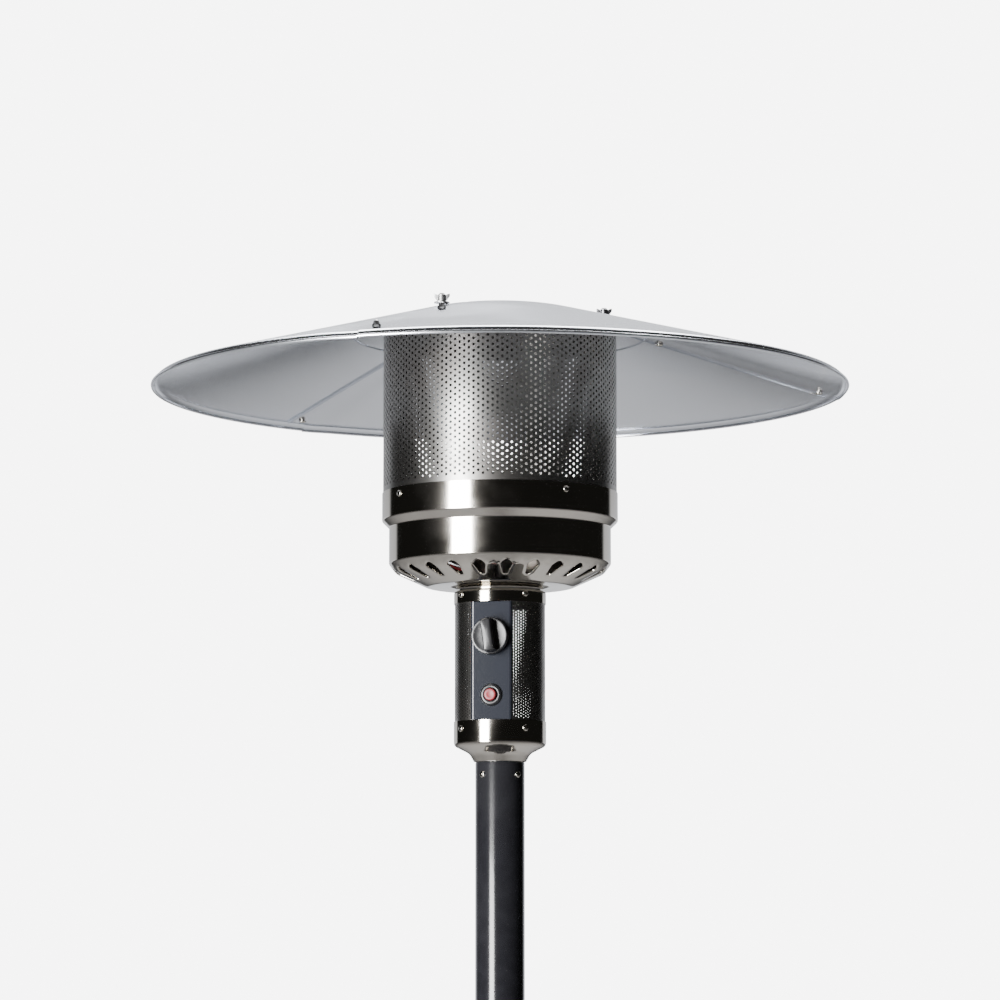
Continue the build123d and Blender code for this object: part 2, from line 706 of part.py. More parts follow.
def control_knob():
    """Round skirt with a raised grip bar across it."""
    skirt = turned([(0, 0), (KNOB_R, 0), (KNOB_R - 1.0, KNOB_SKIRT), (0, KNOB_SKIRT)])
    bar_top = KNOB_SKIRT + KNOB_GRIP_H
    wide = Pos(0, 0, KNOB_SKIRT / 2) * SlotOverall(2 * KNOB_R - 2.0, KNOB_GRIP_W, rotation=90)
    narrow = Pos(0, 0, bar_top) * SlotOverall(
        2 * KNOB_R - 2.0 - KNOB_TAPER, KNOB_GRIP_W - KNOB_TAPER / 2, rotation=90)
    knob = skirt + loft([wide, narrow])
    knob -= rod(STEM_R + 0.02, -1, STEM_IN_KNOB)
    return control_side(forward(Rot(0, 0, KNOB_TURNED) * knob, KNOB_BACK, KNOB_Z))


def valve_stem():
    """Spindle from the knob into the valve."""
    length = KNOB_BACK + STEM_IN_KNOB - PANEL_BACK + STEM_IN_VALVE
    start = PANEL_BACK - STEM_IN_VALVE
    return control_side(forward(rod(STEM_R, 0, length), start, KNOB_Z))


def push_rod():
    """Rod behind the spindle that holds the safety magnet open while the knob is pushed."""
    start = PANEL_BACK - STEM_IN_VALVE - PUSH_ROD_LENGTH
    return control_side(forward(rod(PUSH_ROD_R, 0, PUSH_ROD_LENGTH), start, KNOB_Z))


VALVE_AXIS = PANEL_BACK - VALVE_BOSS_BACK


def gas_valve():
    """Valve body: a round barrel along the spindle, an upright gas way and three side ports."""
    body = forward(rod(VALVE_R, -VALVE_LENGTH, 0), PANEL_BACK, KNOB_Z)
    boss = Pos(0, -VALVE_AXIS, 0) * rod(VALVE_BOSS_R, KNOB_Z - VALVE_BOSS_HALF_H, KNOB_Z + VALVE_BOSS_HALF_H)
    ear_bar = SlotCenterToCenter(2 * VALVE_EAR_X, 2 * VALVE_EAR_R)
    ears = forward(extrude(ear_bar, -VALVE_EAR_T), PANEL_BACK, KNOB_Z)
    body = body + boss + ears
    for y in (PILOT_Y, THERMO_Y):
        body += Pos(-SIDE_PORT_REACH / 2, y, KNOB_Z) * Rot(0, 90, 0) * Cylinder(SIDE_PORT_R, SIDE_PORT_REACH)
    spindle_bore = STEM_IN_VALVE + KNOB_TRAVEL + 1.0
    rod_bore = STEM_IN_VALVE + PUSH_ROD_LENGTH + KNOB_TRAVEL + 1.0
    body -= forward(rod(STEM_R + RUNNING, -STEM_IN_VALVE - KNOB_TRAVEL, 1), PANEL_BACK, KNOB_Z)
    body -= forward(rod(PUSH_ROD_R + RUNNING, -rod_bore, -spindle_bore + 1), PANEL_BACK, KNOB_Z)
    for x in (-VALVE_EAR_X, VALVE_EAR_X):
        body -= Pos(x, 0, 0) * forward(Cylinder(VALVE_SCREW_R + NEST, 3 * VALVE_EAR_T), PANEL_BACK, KNOB_Z)
    return control_side(body)


def valve_screws():
    """Two flat screws that stay clear of the knob when it is pushed home."""
    screw = forward(
        pan_head_screw(VALVE_SCREW_R, VALVE_SCREW_R * 1.7, KNOB_CLEAR * 0.7, PANEL_SHEET + VALVE_EAR_T),
        PANEL_DEPTH, KNOB_Z)
    return Compound([control_side(Pos(x, 0, 0) * screw) for x in (-VALVE_EAR_X, VALVE_EAR_X)])


def inlet_fitting():
    """Hexagon and nipple under the valve, where the gas hose screws on."""
    top = KNOB_Z - VALVE_BOSS_HALF_H
    hexagon = Pos(0, -VALVE_AXIS, top - INLET_HEX_H) * extrude(
        RegularPolygon(INLET_HEX / 2, 6, major_radius=False), INLET_HEX_H)
    nipple = Pos(0, -VALVE_AXIS, 0) * rod(INLET_NIPPLE_R, INLET_END_Z, top - INLET_HEX_H)
    bore = Pos(0, -VALVE_AXIS, 0) * rod(INLET_BORE_R, INLET_END_Z - 1, top - 2)
    return control_side(hexagon + nipple - bore)


INLET_END_Z = KNOB_Z - VALVE_BOSS_HALF_H - INLET_HEX_H - INLET_NIPPLE_H


def igniter_body():
    """Spark igniter: a bezel in front of the panel and a barrel through it."""
    bore_r = BUTTON_R + RUNNING
    back = PANEL_SHEET - BARREL_LENGTH
    floor = BUTTON_PROUD - BUTTON_LENGTH - BUTTON_TRAVEL - 1.0
    outline = [
        (0, back), (BARREL_R - 2, back), (BARREL_R, back + 2), (BARREL_R, 0), (BEZEL_R, 0),
        (BEZEL_R, BEZEL_T * 0.5), (BEZEL_R - 2.0, BEZEL_T), (bore_r, BEZEL_T), (bore_r, floor), (0, floor)]
    return control_side(forward(turned(outline), PANEL_DEPTH, BUTTON_Z))


def igniter_button():
    outline = [
        (0, BUTTON_PROUD - BUTTON_LENGTH), (BUTTON_R, BUTTON_PROUD - BUTTON_LENGTH),
        (BUTTON_R, BUTTON_PROUD - 1.2), (BUTTON_R - 1.2, BUTTON_PROUD), (0, BUTTON_PROUD)]
    return control_side(forward(turned(outline), PANEL_DEPTH, BUTTON_Z))


def igniter_nut():
    nut = extrude(RegularPolygon(BARREL_NUT_R, 6), -BARREL_NUT_T) - rod(BARREL_R + NEST, -10, 1)
    return control_side(forward(nut, PANEL_BACK, BUTTON_Z))


def tilt_switch():
    """Sealed tip-over switch on the housing's floor plate."""
    floor = SPIGOT_PLATE_Z + SPIGOT_WALL / 2
    case = Box(TILT_W, TILT_D, TILT_H, align=(Align.CENTER, Align.CENTER, Align.MIN))
    case = fillet(case.edges().filter_by(Axis.Z), 3.0)
    foot = Box(TILT_W + 12, TILT_D * 0.6, 2.0, align=(Align.CENTER, Align.CENTER, Align.MIN))
    return control_side(Pos(0, TILT_BACK, floor) * (case + foot))


# Gas and ignition lines. They run up from the valve, through the cap, to the burner.

RISER_X = -31.0
PILOT_Y = -30.0
THERMO_Y = -20.0
LEAD_X = -34.0
LEAD_Y = 2.0
ELECTRODE_Y = -9.0
BURNER_BASE = BOWL_BOTTOM + STAND_H
BURNER_BOTTOM = BURNER_BASE + VENTURI_H - BURNER_H
PILOT_PLATE_Z = BURNER_BOTTOM + 4.0


def burner_pipe():
    top = BOWL_BOTTOM + 4.0
    start_z = KNOB_Z + VALVE_BOSS_HALF_H
    low = start_z + BURNER_PIPE_BEND * 0.8
    points = [(0, -VALVE_AXIS, start_z), (0, -VALVE_AXIS, low), (0, 0, low + 8.0), (0, 0, top)]
    return control_side(bent_tube(points, BURNER_PIPE_R, BURNER_PIPE_BEND * 0.7))


def pilot_tube():
    turn_z = CAP_TOP + 24.0
    points = [
        (-SIDE_PORT_REACH, PILOT_Y, KNOB_Z), (RISER_X, PILOT_Y, KNOB_Z),
        (RISER_X, PILOT_Y, turn_z), (-PILOT_REACH, PILOT_Y, PILOT_PLATE_Z - 22.0),
        (-PILOT_REACH, PILOT_Y, PILOT_PLATE_Z)]
    return control_side(bent_tube(points, PILOT_TUBE_R, LINE_BEND * 0.8))


def thermocouple():
    turn_z = CAP_TOP + 24.0
    points = [
        (-SIDE_PORT_REACH, THERMO_Y, KNOB_Z), (RISER_X, THERMO_Y, KNOB_Z),
        (RISER_X, THERMO_Y, turn_z), (-PILOT_REACH, THERMO_Y, PILOT_PLATE_Z - 22.0),
        (-PILOT_REACH, THERMO_Y, PILOT_PLATE_Z + 30.0)]
    return control_side(bent_tube(points, THERMO_R, LINE_BEND * 0.8))


def ignition_lead():
    start = (0, BARREL_LENGTH - PANEL_SHEET - PANEL_DEPTH, BUTTON_Z)
    points = [
        start, (0, 14.0, BUTTON_Z), (LEAD_X, LEAD_Y, BUTTON_Z + 40.0), (LEAD_X, LEAD_Y, CAP_TOP + 24.0),
        (-PILOT_REACH, ELECTRODE_Y, PILOT_PLATE_Z - 26.0), (-PILOT_REACH, ELECTRODE_Y, PILOT_PLATE_Z - 8.0)]
    return control_side(bent_tube(points, LEAD_R, LINE_BEND))


def main_jet():
    """Brass jet on the pipe's end, under the mixing tube."""
    base = BOWL_BOTTOM + 4.0
    body = Pos(0, 0, base) * extrude(RegularPolygon(JET_R, 6), JET_H * 0.6)
    low, high = base + JET_H * 0.6, base + JET_H
    tip = turned([(0, low), (JET_R * 0.6, low), (JET_R * 0.3, high), (0, high)])
    return control_side(body + tip)


def venturi_stand():
    """Cage with three air windows that carries the mixing tube on the cap."""
    half = STAND_WALL / 2
    low, high = CAP_TOP + half, BURNER_BASE - half
    wall = STAND_R - half
    points = [(STAND_R + 6.0, low), (wall, low), (wall, high), (VENTURI_R + NEST, high)]
    cage = revolve(sheet(points, STAND_WALL, [STAND_WALL, STAND_WALL]), Axis.Z)
    window = Pos(STAND_R, 0, CAP_TOP + 6.0 + STAND_WINDOW_H / 2) * Box(STAND_R, STAND_R, STAND_WINDOW_H)
    for cutter in round_about(window, 3, 60.0):
        cage -= cutter
    return control_side(cage)


def venturi_tube():
    """Mixing tube with a flange on the cage and a flared mouth."""
    half = VENTURI_WALL / 2
    top = BURNER_BASE + VENTURI_H
    tube = ring(VENTURI_R, VENTURI_R - VENTURI_WALL, BURNER_BASE - 8.0, top)
    flange = ring(STAND_R, VENTURI_R - half, BURNER_BASE, BURNER_BASE + VENTURI_WALL)
    return tube + flange


def burner_head():
    """Round burner: a shallow pan on the mixing tube and a ported crown."""
    half = BURNER_SHEET / 2
    inner = VENTURI_R + NEST + half
    points = [(inner, BURNER_BOTTOM - 8.0), (inner, BURNER_BOTTOM), (BURNER_R, BURNER_BOTTOM + 6.0),
              (BURNER_R, BURNER_BOTTOM + BURNER_H)]
    return revolve(sheet(points, BURNER_SHEET, [3.0, 5.0]), Axis.Z)


def burner_crown():
    """Ported lid of the burner."""
    top = BURNER_BOTTOM + BURNER_H
    half = BURNER_SHEET / 2
    outer = BURNER_R + half + NEST + half
    points = [(outer, top - 8.0), (outer, top + half), (20.0, top + 8.0), (0.0, top + 8.0)]
    crown = revolve(sheet(points, BURNER_SHEET, [BURNER_SHEET * 0.6, 12.0]), Axis.Z)
    port = Pos(BURNER_PORT_RING, 0, top) * Cylinder(BURNER_PORT_R, 30.0)
    for cutter in round_about(port, BURNER_PORTS):
        crown -= cutter
    return crown


def pilot_bracket():
    """Small plate on the burner's wall that holds pilot, thermocouple and electrode."""
    outer = BURNER_R + BURNER_SHEET / 2
    reach = PILOT_REACH + 8.0
    width = ELECTRODE_Y - PILOT_Y + 18.0
    middle = (ELECTRODE_Y + PILOT_Y) / 2
    centre = Pos(-reach / 2 - 18.0, middle, PILOT_PLATE_Z + PILOT_PLATE_T / 2)
    plate = centre * Box(reach - 36.0, width, PILOT_PLATE_T)
    plate -= rod(outer, PILOT_PLATE_Z - 5, PILOT_PLATE_Z + 10)
    for y, radius in ((PILOT_Y, PILOT_TUBE_R), (THERMO_Y, THERMO_R), (ELECTRODE_Y, LEAD_R)):
        plate -= Pos(-PILOT_REACH, y, PILOT_PLATE_Z) * Cylinder(radius + NEST, 8)
    return control_side(plate)


def pilot_hood():
    """Pilot burner with a side mouth towards the thermocouple."""
    bottom = PILOT_PLATE_Z + PILOT_PLATE_T
    hood = ring(HOOD_R - 1.0, PILOT_TUBE_R, bottom, bottom + HOOD_H)
    lid = rod(HOOD_R - 1.0, bottom + HOOD_H, bottom + HOOD_H + 1.5)
    mouth = Pos(0, HOOD_R / 2, bottom + HOOD_H * 0.75) * Box(HOOD_R, HOOD_R, HOOD_H * 0.3)
    return control_side(Pos(-PILOT_REACH, PILOT_Y, 0) * (hood + lid - mouth))


def igniter_electrode():
    """Ceramic insulator through the bracket with a spark wire."""
    low = PILOT_PLATE_Z - 8.0
    high = PILOT_PLATE_Z + 20.0
    seat = PILOT_PLATE_Z + PILOT_PLATE_T
    insulator = turned([
        (0, low), (LEAD_R, low), (LEAD_R, seat), (LEAD_R + 1.2, seat), (LEAD_R + 1.2, high - 3), (1.2, high),
        (0, high)])
    wire = rod(0.8, high - 1, high + 12.0)
    return control_side(Pos(-PILOT_REACH, ELECTRODE_Y, 0) * (insulator + wire))


# Bowl and screen

def neck_collar():
    """Flared ring between the control housing's cap and the bowl."""
    low_r = CUP_R - CAP_BEND
    return turned([(BOWL_HOLE_R, CAP_TOP), (low_r, CAP_TOP), (low_r + 1.0, CAP_TOP + COLLAR_H * 0.4),
                   (COLLAR_R, BOWL_BOTTOM), (BOWL_HOLE_R, BOWL_BOTTOM)])


def bowl_slot():
    """Cutter for one air slot: wide and round outside, narrow and round inside."""
    inner = Pos(SLOT_IN_R + SLOT_IN_W / 2, 0) * Circle(SLOT_IN_W / 2)
    outer = Pos(SLOT_OUT_R - SLOT_OUT_W / 2, 0) * Circle(SLOT_OUT_W / 2)
    outline = make_hull((inner + outer).edges())
    return Pos(0, 0, BOWL_BOTTOM - 5.0) * extrude(outline, BOWL_LOW_RISE + 4.0)


def burner_bowl():
    """Spun bowl: a shallow slotted bottom, a low band, a shoulder and a wider top band."""
    half = BOWL_SHEET / 2
    low = BOWL_LOW_R - half
    high = BOWL_TOP_R - half
    points = [
        (BOWL_HOLE_R, BOWL_BOTTOM + half), (BOWL_FLAT_R, BOWL_BOTTOM + half), (BOWL_KNEE_R, BOWL_KNEE_Z),
        (low, BOWL_LOW_Z), (low, BOWL_STEP_Z), (high, BOWL_SHOULDER_Z), (high, BOWL_TOP)]
    bowl = revolve(sheet(points, BOWL_SHEET, list(BOWL_BENDS)), Axis.Z)
    cutters = round_about(bowl_slot(), SLOT_COUNT, slot_first())
    vent = Pos(VENT_RING_R, 0, BOWL_BOTTOM) * extrude(RegularPolygon(VENT_R, 8), 5.0, both=True)
    cutters += round_about(vent, VENT_COUNT, slot_first() + 180.0 / SLOT_COUNT)
    screw_hole = Cylinder(HOUSING_SCREW_R + HOLE_PLAY, 16)
    for azimuth in housing_screw_azimuths():
        cutters.append(facing(azimuth, BOWL_TOP_R, bowl_screw_z()) * screw_hole)
    return bowl - cutters


def slot_first():
    """The slots straddle the front as on the real bowl, one of them 3.5 degrees right of -Y."""
    return -90.0 + 3.5


def bowl_screw_z():
    return BOWL_TOP - 8.0


def head_screws():
    """The like screws of the post's top, the control housing and the bowl's rim."""
    screw = pan_head_screw(HOUSING_SCREW_R, HOUSING_SCREW_HEAD_R, HOUSING_SCREW_HEAD, 6.0)
    places = [(a, CUP_R, z) for a in housing_screw_azimuths() for z in (CUP_SCREW_Z, CAP_SCREW_Z)]
    places += [(a, BOWL_TOP_R, bowl_screw_z()) for a in housing_screw_azimuths()]
    places += [(a, POST_R, POST_TOP - POST_SCREW_DROP) for a in post_screw_azimuths()]
    return Compound([facing(a, radius, z) * screw for a, radius, z in places])


def screen_strip():
    """One upright strip of the perforated sheet, from azimuth 0 on. Its edges run between holes."""
    arc = 360.0 / SCREEN_STRIPS
    wall = [(SCREEN_R - SCREEN_SHEET, SCREEN_BOTTOM), (SCREEN_R, SCREEN_BOTTOM)]
    wall += [(SCREEN_R, SCREEN_TOP), (SCREEN_R - SCREEN_SHEET, SCREEN_TOP)]
    strip = Rot(0, 0, -90) * turned(wall, arc)
    hexagon = extrude(RegularPolygon(SCREEN_HOLE_R, 6), 3 * SCREEN_SHEET, both=True)
    step = arc / SCREEN_STRIP_COLUMNS
    cutters = []
    for row in range(SCREEN_ROWS):
        z = SCREEN_BOTTOM + SCREEN_FIRST_ROW + row * SCREEN_ROW_PITCH
        for column in range(SCREEN_STRIP_COLUMNS):
            azimuth = (column + 0.25 + 0.5 * (row % 2)) * step
            cutters.append(facing(azimuth, SCREEN_R - SCREEN_SHEET / 2, z) * hexagon)
    return strip - cutters


def emitter_screen():
    """Perforated cylinder in strips side by side. Its holes are fewer and larger than on the real sheet."""
    hole = Cylinder(HOUSING_SCREW_R + HOLE_PLAY, 16)
    strip = screen_strip()
    strips = []
    for i in range(SCREEN_STRIPS):
        first = 360.0 * i / SCREEN_STRIPS
        turned_strip = Rot(0, 0, first) * strip
        for azimuth in housing_screw_azimuths():
            if first < azimuth < first + 360.0 / SCREEN_STRIPS:
                turned_strip -= facing(azimuth, SCREEN_R, bowl_screw_z()) * hole
        strips.append(turned_strip)
    return Compound(strips)


def stud_azimuths():
    return [STUD_TURN + 360.0 * i / SECTOR_COUNT for i in range(SECTOR_COUNT)]


def on_ring(shape, azimuth, radius, height):
    """Places an upright shape at an azimuth, which counts from -Y towards +X."""
    a = radians(azimuth)
    return Pos(radius * sin(a), -radius * cos(a), height) * Rot(0, 0, azimuth - 90.0) * shape


def screen_top():
    """Lid of the screen with a down-turned lip inside it."""
    half = SCREEN_SHEET / 2
    lip_r = SCREEN_R - SCREEN_SHEET - NEST - half
    points = [(CENTRE_HOLE_R, SCREEN_TOP - half), (lip_r, SCREEN_TOP - half), (lip_r, SCREEN_TOP - PLATE_LIP)]
    lid = revolve(sheet(points, SCREEN_SHEET, [SCREEN_SHEET * 2]), Axis.Z)
    for azimuth in stud_azimuths():
        lid -= on_ring(Cylinder(STUD_R + NEST, 8), azimuth, STUD_RING_R, SCREEN_TOP)
    return lid


def reflector_studs():
    """Three studs that stand on the screen's lid and carry the reflector."""
    bottom = SCREEN_TOP - SCREEN_SHEET
    top = dome_top_at(STUD_RING_R) + STUD_TOP
    stud = rod(STUD_R, bottom, top) + rod(STUD_R + 2.5, bottom - 3.0, bottom)
    return Compound([on_ring(stud, a, STUD_RING_R, 0) for a in stud_azimuths()])


def stud_spacers():
    sheet_rise = DOME_SHEET / cos(radians(DOME_SLOPE))
    low_edge = CENTRE_DISC_AT_STUD - STUD_SPACER_R * SLOPE - sheet_rise - SEAM_GAP * 4
    tube = ring(STUD_SPACER_R, STUD_R + NEST, SCREEN_TOP, low_edge)
    return Compound([on_ring(tube, a, STUD_RING_R, 0) for a in stud_azimuths()])


# Reflector

def dome_middle_at(radius):
    """Height of the middle of the sectors' sheet."""
    return CROWN_Z - max(radius - CROWN_R, 0.0) * SLOPE


def dome_top_at(radius):
    return dome_middle_at(radius) + DOME_SHEET / 2 / cos(radians(DOME_SLOPE))


def dome_points(inner, lower):
    """Middle line of the reflector's sheet, from its crown to its rim, lowered by a step."""
    points = [(inner, CROWN_Z - lower), (CROWN_R, CROWN_Z - lower), (CONE_OUT_R, CONE_OUT_Z - lower)]
    return points


def seam_azimuths():
    return [SEAM_TURN + 360.0 * i / SECTOR_COUNT for i in range(SECTOR_COUNT)]


SECTOR_ARC = 360.0 / SECTOR_COUNT
LAP_DROP = DOME_SHEET / cos(radians(DOME_SLOPE)) + SEAM_GAP


def sector_sheet():
    """One third of the dome with its down-turned lip and its rolled bead."""
    points = dome_points(CENTRE_HOLE_R, 0.0) + [(REFLECTOR_R - BEAD_R, RIM_Z + BEAD_R)]
    section = sheet(points, DOME_SHEET, [CROWN_BEND, LIP_BEND])
    bead = Plane.XZ * Pos(REFLECTOR_R - BEAD_R, RIM_Z + BEAD_R) * RegularPolygon(BEAD_R, 10)
    return revolve(section + bead, Axis.Z, SECTOR_ARC)


def lap_strip():
    """The part of a sector that reaches under its neighbour, a sheet's thickness lower."""
    strip = revolve(sheet(dome_points(CENTRE_HOLE_R, LAP_DROP), DOME_SHEET, [CROWN_BEND]), Axis.Z, LAP_ARC)
    step = LAP_DROP * cos(radians(DOME_SLOPE)) + DOME_SHEET * 0.98
    riser = revolve(sheet(dome_points(CENTRE_HOLE_R, LAP_DROP / 2), step, [CROWN_BEND]), Axis.Z, RISER_ARC)
    return strip + Rot(0, 0, -RISER_ARC) * riser


def reflector_sector(azimuth):
    """A sector whose lap lies at the given seam, under the next sector round."""
    sector = Rot(0, 0, -SECTOR_ARC) * sector_sheet() + lap_strip()
    for ring_r in SEAM_SCREW_RINGS:
        for turn in (LAP_ARC / 2, LAP_ARC / 2 - SECTOR_ARC):
            sector -= Rot(0, 0, turn) * Pos(ring_r, 0, CROWN_Z) * Cylinder(SEAM_SCREW_R + HOLE_PLAY, 400)
    sector = Rot(0, 0, azimuth - 90.0) * sector
    for stud in stud_azimuths():
        sector -= on_ring(Cylinder(STUD_R + HOLE_PLAY, 400), stud, STUD_RING_R, CROWN_Z)
    return sector


def reflector_centre():
    """Disc under the three sectors that closes the dome above the screen."""
    lower = 2 * LAP_DROP
    edge_z = dome_middle_at(CENTRE_DISC_R) - lower
    points = [(0.0, CROWN_Z - lower), (CROWN_R, CROWN_Z - lower), (CENTRE_DISC_R, edge_z)]
    disc = revolve(sheet(points, DOME_SHEET, [CROWN_BEND]), Axis.Z)
    for azimuth in stud_azimuths():
        disc -= on_ring(Cylinder(STUD_R + HOLE_PLAY, 60), azimuth, STUD_RING_R, CROWN_Z)
    return disc


def seam_places():
    """Azimuth, radius for each seam screw, in the middle of the lap."""
    places = []
    for seam in seam_azimuths():
        for ring_r in SEAM_SCREW_RINGS:
            places.append((seam + LAP_ARC / 2, ring_r))
    return places


def seam_screws():
    """Screws put in from below, square to the ground."""
    screws = []
    for azimuth, radius in seam_places():
        z = dome_middle_at(min(radius, CONE_OUT_R)) - LAP_DROP - DOME_SHEET - SEAM_SCREW_R * SLOPE - 0.6
        screw = Rot(180, 0, 0) * pan_head_screw(SEAM_SCREW_R, SEAM_SCREW_R * 1.8, 2.2, 9.0)
        screws.append(on_ring(screw, azimuth, radius, z))
    return Compound(screws)


def seam_nuts():
    nuts = []
    for azimuth, radius in seam_places():
        z = dome_top_at(min(radius, CONE_OUT_R)) + CAP_NUT_R * SLOPE + SEAM_GAP
        bore = Pos(0, 0, -1) * Cylinder(SEAM_SCREW_R + NEST, 14)
        nuts.append(on_ring(acorn_nut(CAP_NUT_R, CAP_NUT_H) - bore, azimuth, radius, z))
    return Compound(nuts)


def wing_nut():
    """Wing nut with a washer face."""
    hub = ring(WING_HUB_R, STUD_R + NEST, 0, WING_HUB_H) + ring(WASHER_R, STUD_R + NEST, 0, WASHER_T)
    outline = [(0, WASHER_T), (WING_SPAN, WING_RISE), (WING_SPAN - 5.0, WING_RISE + 2.0)]
    outline.append((0, WING_HUB_H - 0.5))
    wing = extrude(Plane.XZ * make_face(Polyline(*outline, close=True)), WING_T / 2, both=True)
    clear = rod(STUD_R + NEST, -1, 20)
    return hub + (wing - clear) + (mirror(wing, Plane.YZ) - clear)


def wing_nuts():
    z = dome_top_at(STUD_RING_R) + WASHER_R * SLOPE
    return Compound([on_ring(wing_nut(), a, STUD_RING_R, z) for a in stud_azimuths()])


def pieces():
    """Every node's name with its solids."""
    named = {
        "base_pan": base_pan(), "base_weight": base_weight(), "leg_foot_bolts": foot_bolts(),
        "frame_bolts": frame_bolts(), "post": post(),
        "axle_bracket": axle_bracket(), "wheel_axle": wheel_axle(),
        "axle_caps": axle_caps(), "tank_shell": tank_shell(), "tank_lid": tank_lid(),
        "tank_bush": tank_bush(),
        "lid_screws": lid_screws(), "neck_spigot": neck_spigot(), "neck_cup": neck_cup(),
        "housing_cover": housing_cover(), "housing_cap": housing_cap(), "head_screws": head_screws(),
        "control_panel": control_panel(), "control_knob": control_knob(), "valve_stem": valve_stem(),
        "push_rod": push_rod(), "gas_valve": gas_valve(), "valve_screws": valve_screws(),
        "inlet_fitting": inlet_fitting(), "igniter_body": igniter_body(), "igniter_button": igniter_button(),
        "igniter_nut": igniter_nut(), "tilt_switch": tilt_switch(), "burner_pipe": burner_pipe(),
        "pilot_tube": pilot_tube(), "thermocouple": thermocouple(), "ignition_lead": ignition_lead(),
        "main_jet": main_jet(), "venturi_stand": venturi_stand(), "venturi_tube": venturi_tube(),
        "burner_head": burner_head(), "burner_crown": burner_crown(), "pilot_bracket": pilot_bracket(),
        "pilot_hood": pilot_hood(), "igniter_electrode": igniter_electrode(), "neck_collar": neck_collar(),
        "burner_bowl": burner_bowl(), "emitter_screen": emitter_screen(),
        "screen_top": screen_top(), "reflector_studs": reflector_studs(), "stud_spacers": stud_spacers(),
        "reflector_centre": reflector_centre(), "seam_screws": seam_screws(), "seam_nuts": seam_nuts(),
        "wing_nuts": wing_nuts()}
    for side, x in (("left", -WHEEL_X), ("right", WHEEL_X)):
        named[f"wheel_{side}_hub"] = wheel_hub(x)
        named[f"wheel_{side}_tyre"] = wheel_tyre(x)
    for letter, turn in zip("abc", leg_bolt_places()):
        named[f"support_leg_{letter}"] = Rot(0, 0, turn) * leg_strip()
    for letter, azimuth in zip("abc", seam_azimuths()):
        named[f"reflector_sector_{letter}"] = reflector_sector(azimuth)
    return named


os.makedirs("parts", exist_ok=True)
for name, shape in pieces().items():
    export_step(shape, f"parts/{name}.step")
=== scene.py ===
import bpy
import json
import numpy as np
from math import cos, hypot, pi, radians, sin, tan
from mathutils import Matrix, Vector


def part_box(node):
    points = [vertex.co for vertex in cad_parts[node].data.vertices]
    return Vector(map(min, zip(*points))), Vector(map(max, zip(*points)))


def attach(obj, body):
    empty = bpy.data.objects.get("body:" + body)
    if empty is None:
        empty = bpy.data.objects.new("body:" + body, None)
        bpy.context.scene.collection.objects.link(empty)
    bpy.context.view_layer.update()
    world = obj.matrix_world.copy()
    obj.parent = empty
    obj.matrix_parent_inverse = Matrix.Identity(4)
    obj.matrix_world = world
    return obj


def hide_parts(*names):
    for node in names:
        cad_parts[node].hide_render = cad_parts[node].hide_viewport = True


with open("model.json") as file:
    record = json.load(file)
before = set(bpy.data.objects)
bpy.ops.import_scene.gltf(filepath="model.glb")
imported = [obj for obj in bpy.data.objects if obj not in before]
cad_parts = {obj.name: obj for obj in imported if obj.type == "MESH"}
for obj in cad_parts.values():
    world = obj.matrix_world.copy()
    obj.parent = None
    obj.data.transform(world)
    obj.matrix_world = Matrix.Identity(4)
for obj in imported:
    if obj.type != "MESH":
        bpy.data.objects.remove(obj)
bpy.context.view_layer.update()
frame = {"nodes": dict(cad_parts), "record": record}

# Lengths are metres. Heights and radii come from the frame's nodes.
MM = 0.001
SHEET_T = 0.9 * MM
SCREEN_T = 0.8 * MM
# Azimuths are degrees from -Y towards +X, apart from the control panel's, in radians.
CONTROL_TURN = radians(-12.0)
SCREW_TURN = 33.0
SEAM_TURN = -22.0
STUD_TURN = -33.0
LAP_ARC = 4.0


def low_z(node):
    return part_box(node)[0].z


def high_z(node):
    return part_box(node)[1].z


def reach(node):
    """Largest radius of a node about the post's axis, from its box."""
    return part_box(node)[1].x


POST_R = reach("post")
POST_TOP = high_z("post")
CUP_R = reach("neck_cup")
CUP_TOP = high_z("neck_cup")
CAP_BOTTOM = low_z("housing_cap")
CAP_TOP = high_z("housing_cap")
BOWL_BOTTOM = low_z("burner_bowl")
BOWL_TOP = high_z("burner_bowl")
BOWL_R = reach("burner_bowl")
SCREEN_R = reach("emitter_screen")
SCREEN_BOTTOM = low_z("emitter_screen")
SCREEN_TOP = high_z("emitter_screen")
RIM_R = 406.45 * MM
RIM_Z = low_z("reflector_sector_a")
CROWN_Z = high_z("reflector_sector_a") - SHEET_T / 2
PAN_TOP = 42 * MM
PAN_R = 229 * MM
TANK_R = 186 * MM
OUTWARD = Vector((sin(CONTROL_TURN), -cos(CONTROL_TURN), 0))


# Camera and light

def set_camera():
    """The photograph's view: a long lens at eye height, tilted up at the head."""
    distance = 3.986
    eye_height = 1.488
    tilt = radians(7.1)
    lens_in_widths = 3.45
    camera = bpy.data.cameras.new("camera")
    camera.sensor_width = 36.0
    camera.lens = lens_in_widths * camera.sensor_width
    camera.clip_end = 60.0
    holder = bpy.data.objects.new("camera", camera)
    holder.location = (0.0, -distance, eye_height)
    holder.rotation_euler = (pi / 2 + tilt, 0.0, 0.0)
    bpy.context.scene.collection.objects.link(holder)
    bpy.context.scene.camera = holder


